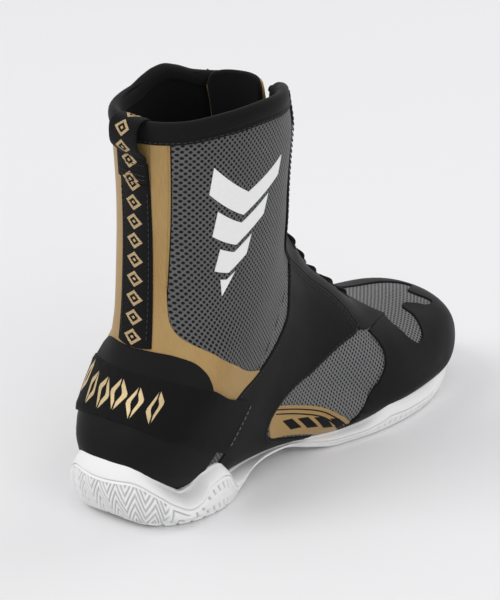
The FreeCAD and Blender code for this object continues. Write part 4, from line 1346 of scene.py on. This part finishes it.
def build_outsole():
    """White cup sole: lip, smooth band, scored line, grooved wall and tread."""
    count = SOLE_COLUMNS
    points, outward, arc = sole_outline(count)
    side, along = points.T
    medial, lateral = steady(WALL_MEDIAL)(along), steady(WALL_LATERAL)(along)
    middle = (medial + lateral) / 2
    ends = np.minimum(step_up(along, 0, 8), step_up(-along, -279, -271))
    wall = middle + (np.where(side >= 0, medial, lateral) - middle) * ends
    under, heel_back = steady(UNDERSIDE), steady(HEEL_BACK)
    spine_s = np.arange(SPINE_FIRST, SPINE_LAST, SPINE_PITCH)
    spine_x = np.interp(spine_s, [s for s, m, l in PLAN], [(m - l) / 2 for s, m, l in PLAN])
    nearest = np.clip(np.round((along - SPINE_FIRST) / SPINE_PITCH), 0, len(spine_s) - 1)
    nearest = nearest.astype(int)

    def ring(gap, height, cut=0.0):
        """Ring of points in from the outline by a gap (mm), kept off the heel's curved back."""
        height = height * np.ones(count)
        xs = points - outward * (gap * np.ones(count))[:, None]
        back, far = heel_back(height) + cut, 3.0
        at = np.where(xs[:, 1] > back + far, xs[:, 1],
                      back + np.clip(xs[:, 1] - back + far, 0, None) ** 2 / (4 * far))
        return place(xs[:, 0], np.where(along < 30, at, xs[:, 1]), height)

    def from_spine(gap, shares):
        """Pattern places at shares of the way from the middle line to inside the outline."""
        x, s = (points - outward * gap[:, None]).T
        inner_x, inner_s = spine_x[nearest], spine_s[nearest]
        return [(inner_x + (x - inner_x) * t, inner_s + (s - inner_s) * t) for t in shares]

    def board(s):
        """Height of the sole's upper side inside the cup."""
        return np.interp(s, *FOOT_BOTTOM) - 0.6

    # the wall's top follows the cloth, up to 5 mm in from the plan
    room = np.meshgrid(np.arange(0.2, 12.2, 0.06), np.arange(60, 300.5, 1.5))
    cloth_spots = form(np.stack(room, -1).reshape(-1, 2))
    hug = np.zeros(count)
    for _ in range(2):
        hug += np.clip(distance_to(ring(1.0 + hug, wall - 0.5), cloth_spots) / MM - 1.3, 0, 5)
        ring_of = np.concatenate([hug[-9:], hug, hug[:9]])
        hug = np.convolve(ring_of, np.full(19, 1 / 19), "valid")
    heel = np.exp(-(arc / 60) ** 4)
    foot = under(np.clip(along, 16, 250)) + 2.6
    tall = wall - foot
    band = np.minimum(5.4 + 3.2 * np.exp(-(arc / 24) ** 2), tall * 0.55)
    shares = np.linspace(0, 1, 9)[1:]
    rows = [place(x, s, board(s)) for x, s in from_spine(hug + LIP[0][0], shares)]
    rows += [ring(hug + gap, wall - drop) for gap, drop in LIP]
    for t in shares:
        gap = 0.7 - 0.5 * t + hug * (1 - t) ** 1.6
        rows.append(ring(gap, wall - 0.9 - (band - 0.9) * t))
    # rows whose groove depth the rubber turns into painted shade, the scored line among them
    shaded = {}
    for cut, drop in SCORE:
        shaded[len(rows)] = cut
        rows.append(ring(0.2 + cut, wall - band - drop))
    top = wall - band - SCORE[-1][1]
    for t in np.arange(1, WALL_ROWS + 1) / WALL_ROWS:
        height = top + (foot - top) * t
        heel_lean = 3.6 * t ** 3 - 1.3 * math.sin(math.pi * t ** 0.7)
        lean = 0.15 + 1.1 * t ** 2.2 + heel * heel_lean
        carved = wall_texture(arc, top - height, t, tall)
        shaded[len(rows)] = carved
        rows.append(ring(lean + carved, height, carved))
    notch = grooves(arc, 8.6, 0.8) * step_up(-np.abs(arc), -96, -90)
    for turn in math.pi / 2 * np.arange(1, 7) / 6:
        gap = 1.25 + 3.6 * heel + 3.0 * (1 - math.cos(turn))
        base = under(np.where(along < 16, 16, along - outward[:, 1] * gap))
        height = base + (foot - base) * (1 - math.sin(turn)) + 1.6 * notch * math.sin(turn)
        rows.append(ring(gap, height))
    shares = np.linspace(0, 1, TREAD_ROWS + 1)[1:-1]
    for t, (x, s) in zip(shares, from_spine(4.25 + 3.6 * heel, 1 - shares)):
        rows.append(place(x, s, under(s) + tread(x, s) * step_up(t, 0.02, 0.1)))
    high_spine = place(spine_x, spine_s, board(spine_s))
    low_spine = place(spine_x, spine_s, under(spine_s) + tread(spine_x, spine_s))
    verts = np.vstack(rows + [high_spine, low_spine])
    faces = []
    i = np.arange(count)
    j = (i + 1) % count
    last = (len(rows) - 1) * count
    for a in range(0, last, count):
        faces += np.stack([a + j, a + i, a + count + i, a + count + j], -1).tolist()
    first_high = len(rows) * count
    first_low = first_high + len(spine_s)
    for p, q in zip(i.tolist(), j.tolist()):
        hp, hq = first_high + nearest[p], first_high + nearest[q]
        lp, lq = first_low + nearest[p], first_low + nearest[q]
        faces.append([p, q, hq, hp] if hp != hq else [p, q, hp])
        faces.append([last + q, last + p, lp, lq] if lp != lq else [last + q, last + p, lp])
    # the uv's first part carries the groove depths that the rubber paints as shade
    uv = np.zeros((len(verts), 2))
    for row, carved in shaded.items():
        uv[row * count:(row + 1) * count, 0] = carved
    item = make_object("outsole_visual", verts, faces, RUBBER, uv, 55)
    settle(item, "boot", ("outsole",))


build_outsole()


# ------------------------------------------------------------ carried-over nodes
def dress(material, *nodes):
    """Gives kept CAD nodes a better material."""
    for node in nodes:
        item = bpy.data.objects[node]
        item.data.materials.clear()
        item.data.materials.append(material)


dress(FOAM, "midsole_heel", "midsole_fore", "forefoot_cushion", "heel_cushion")
dress(BOARD, "strobel_board")
dress(STIFF, "shank", "heel_counter", "toe_puff")
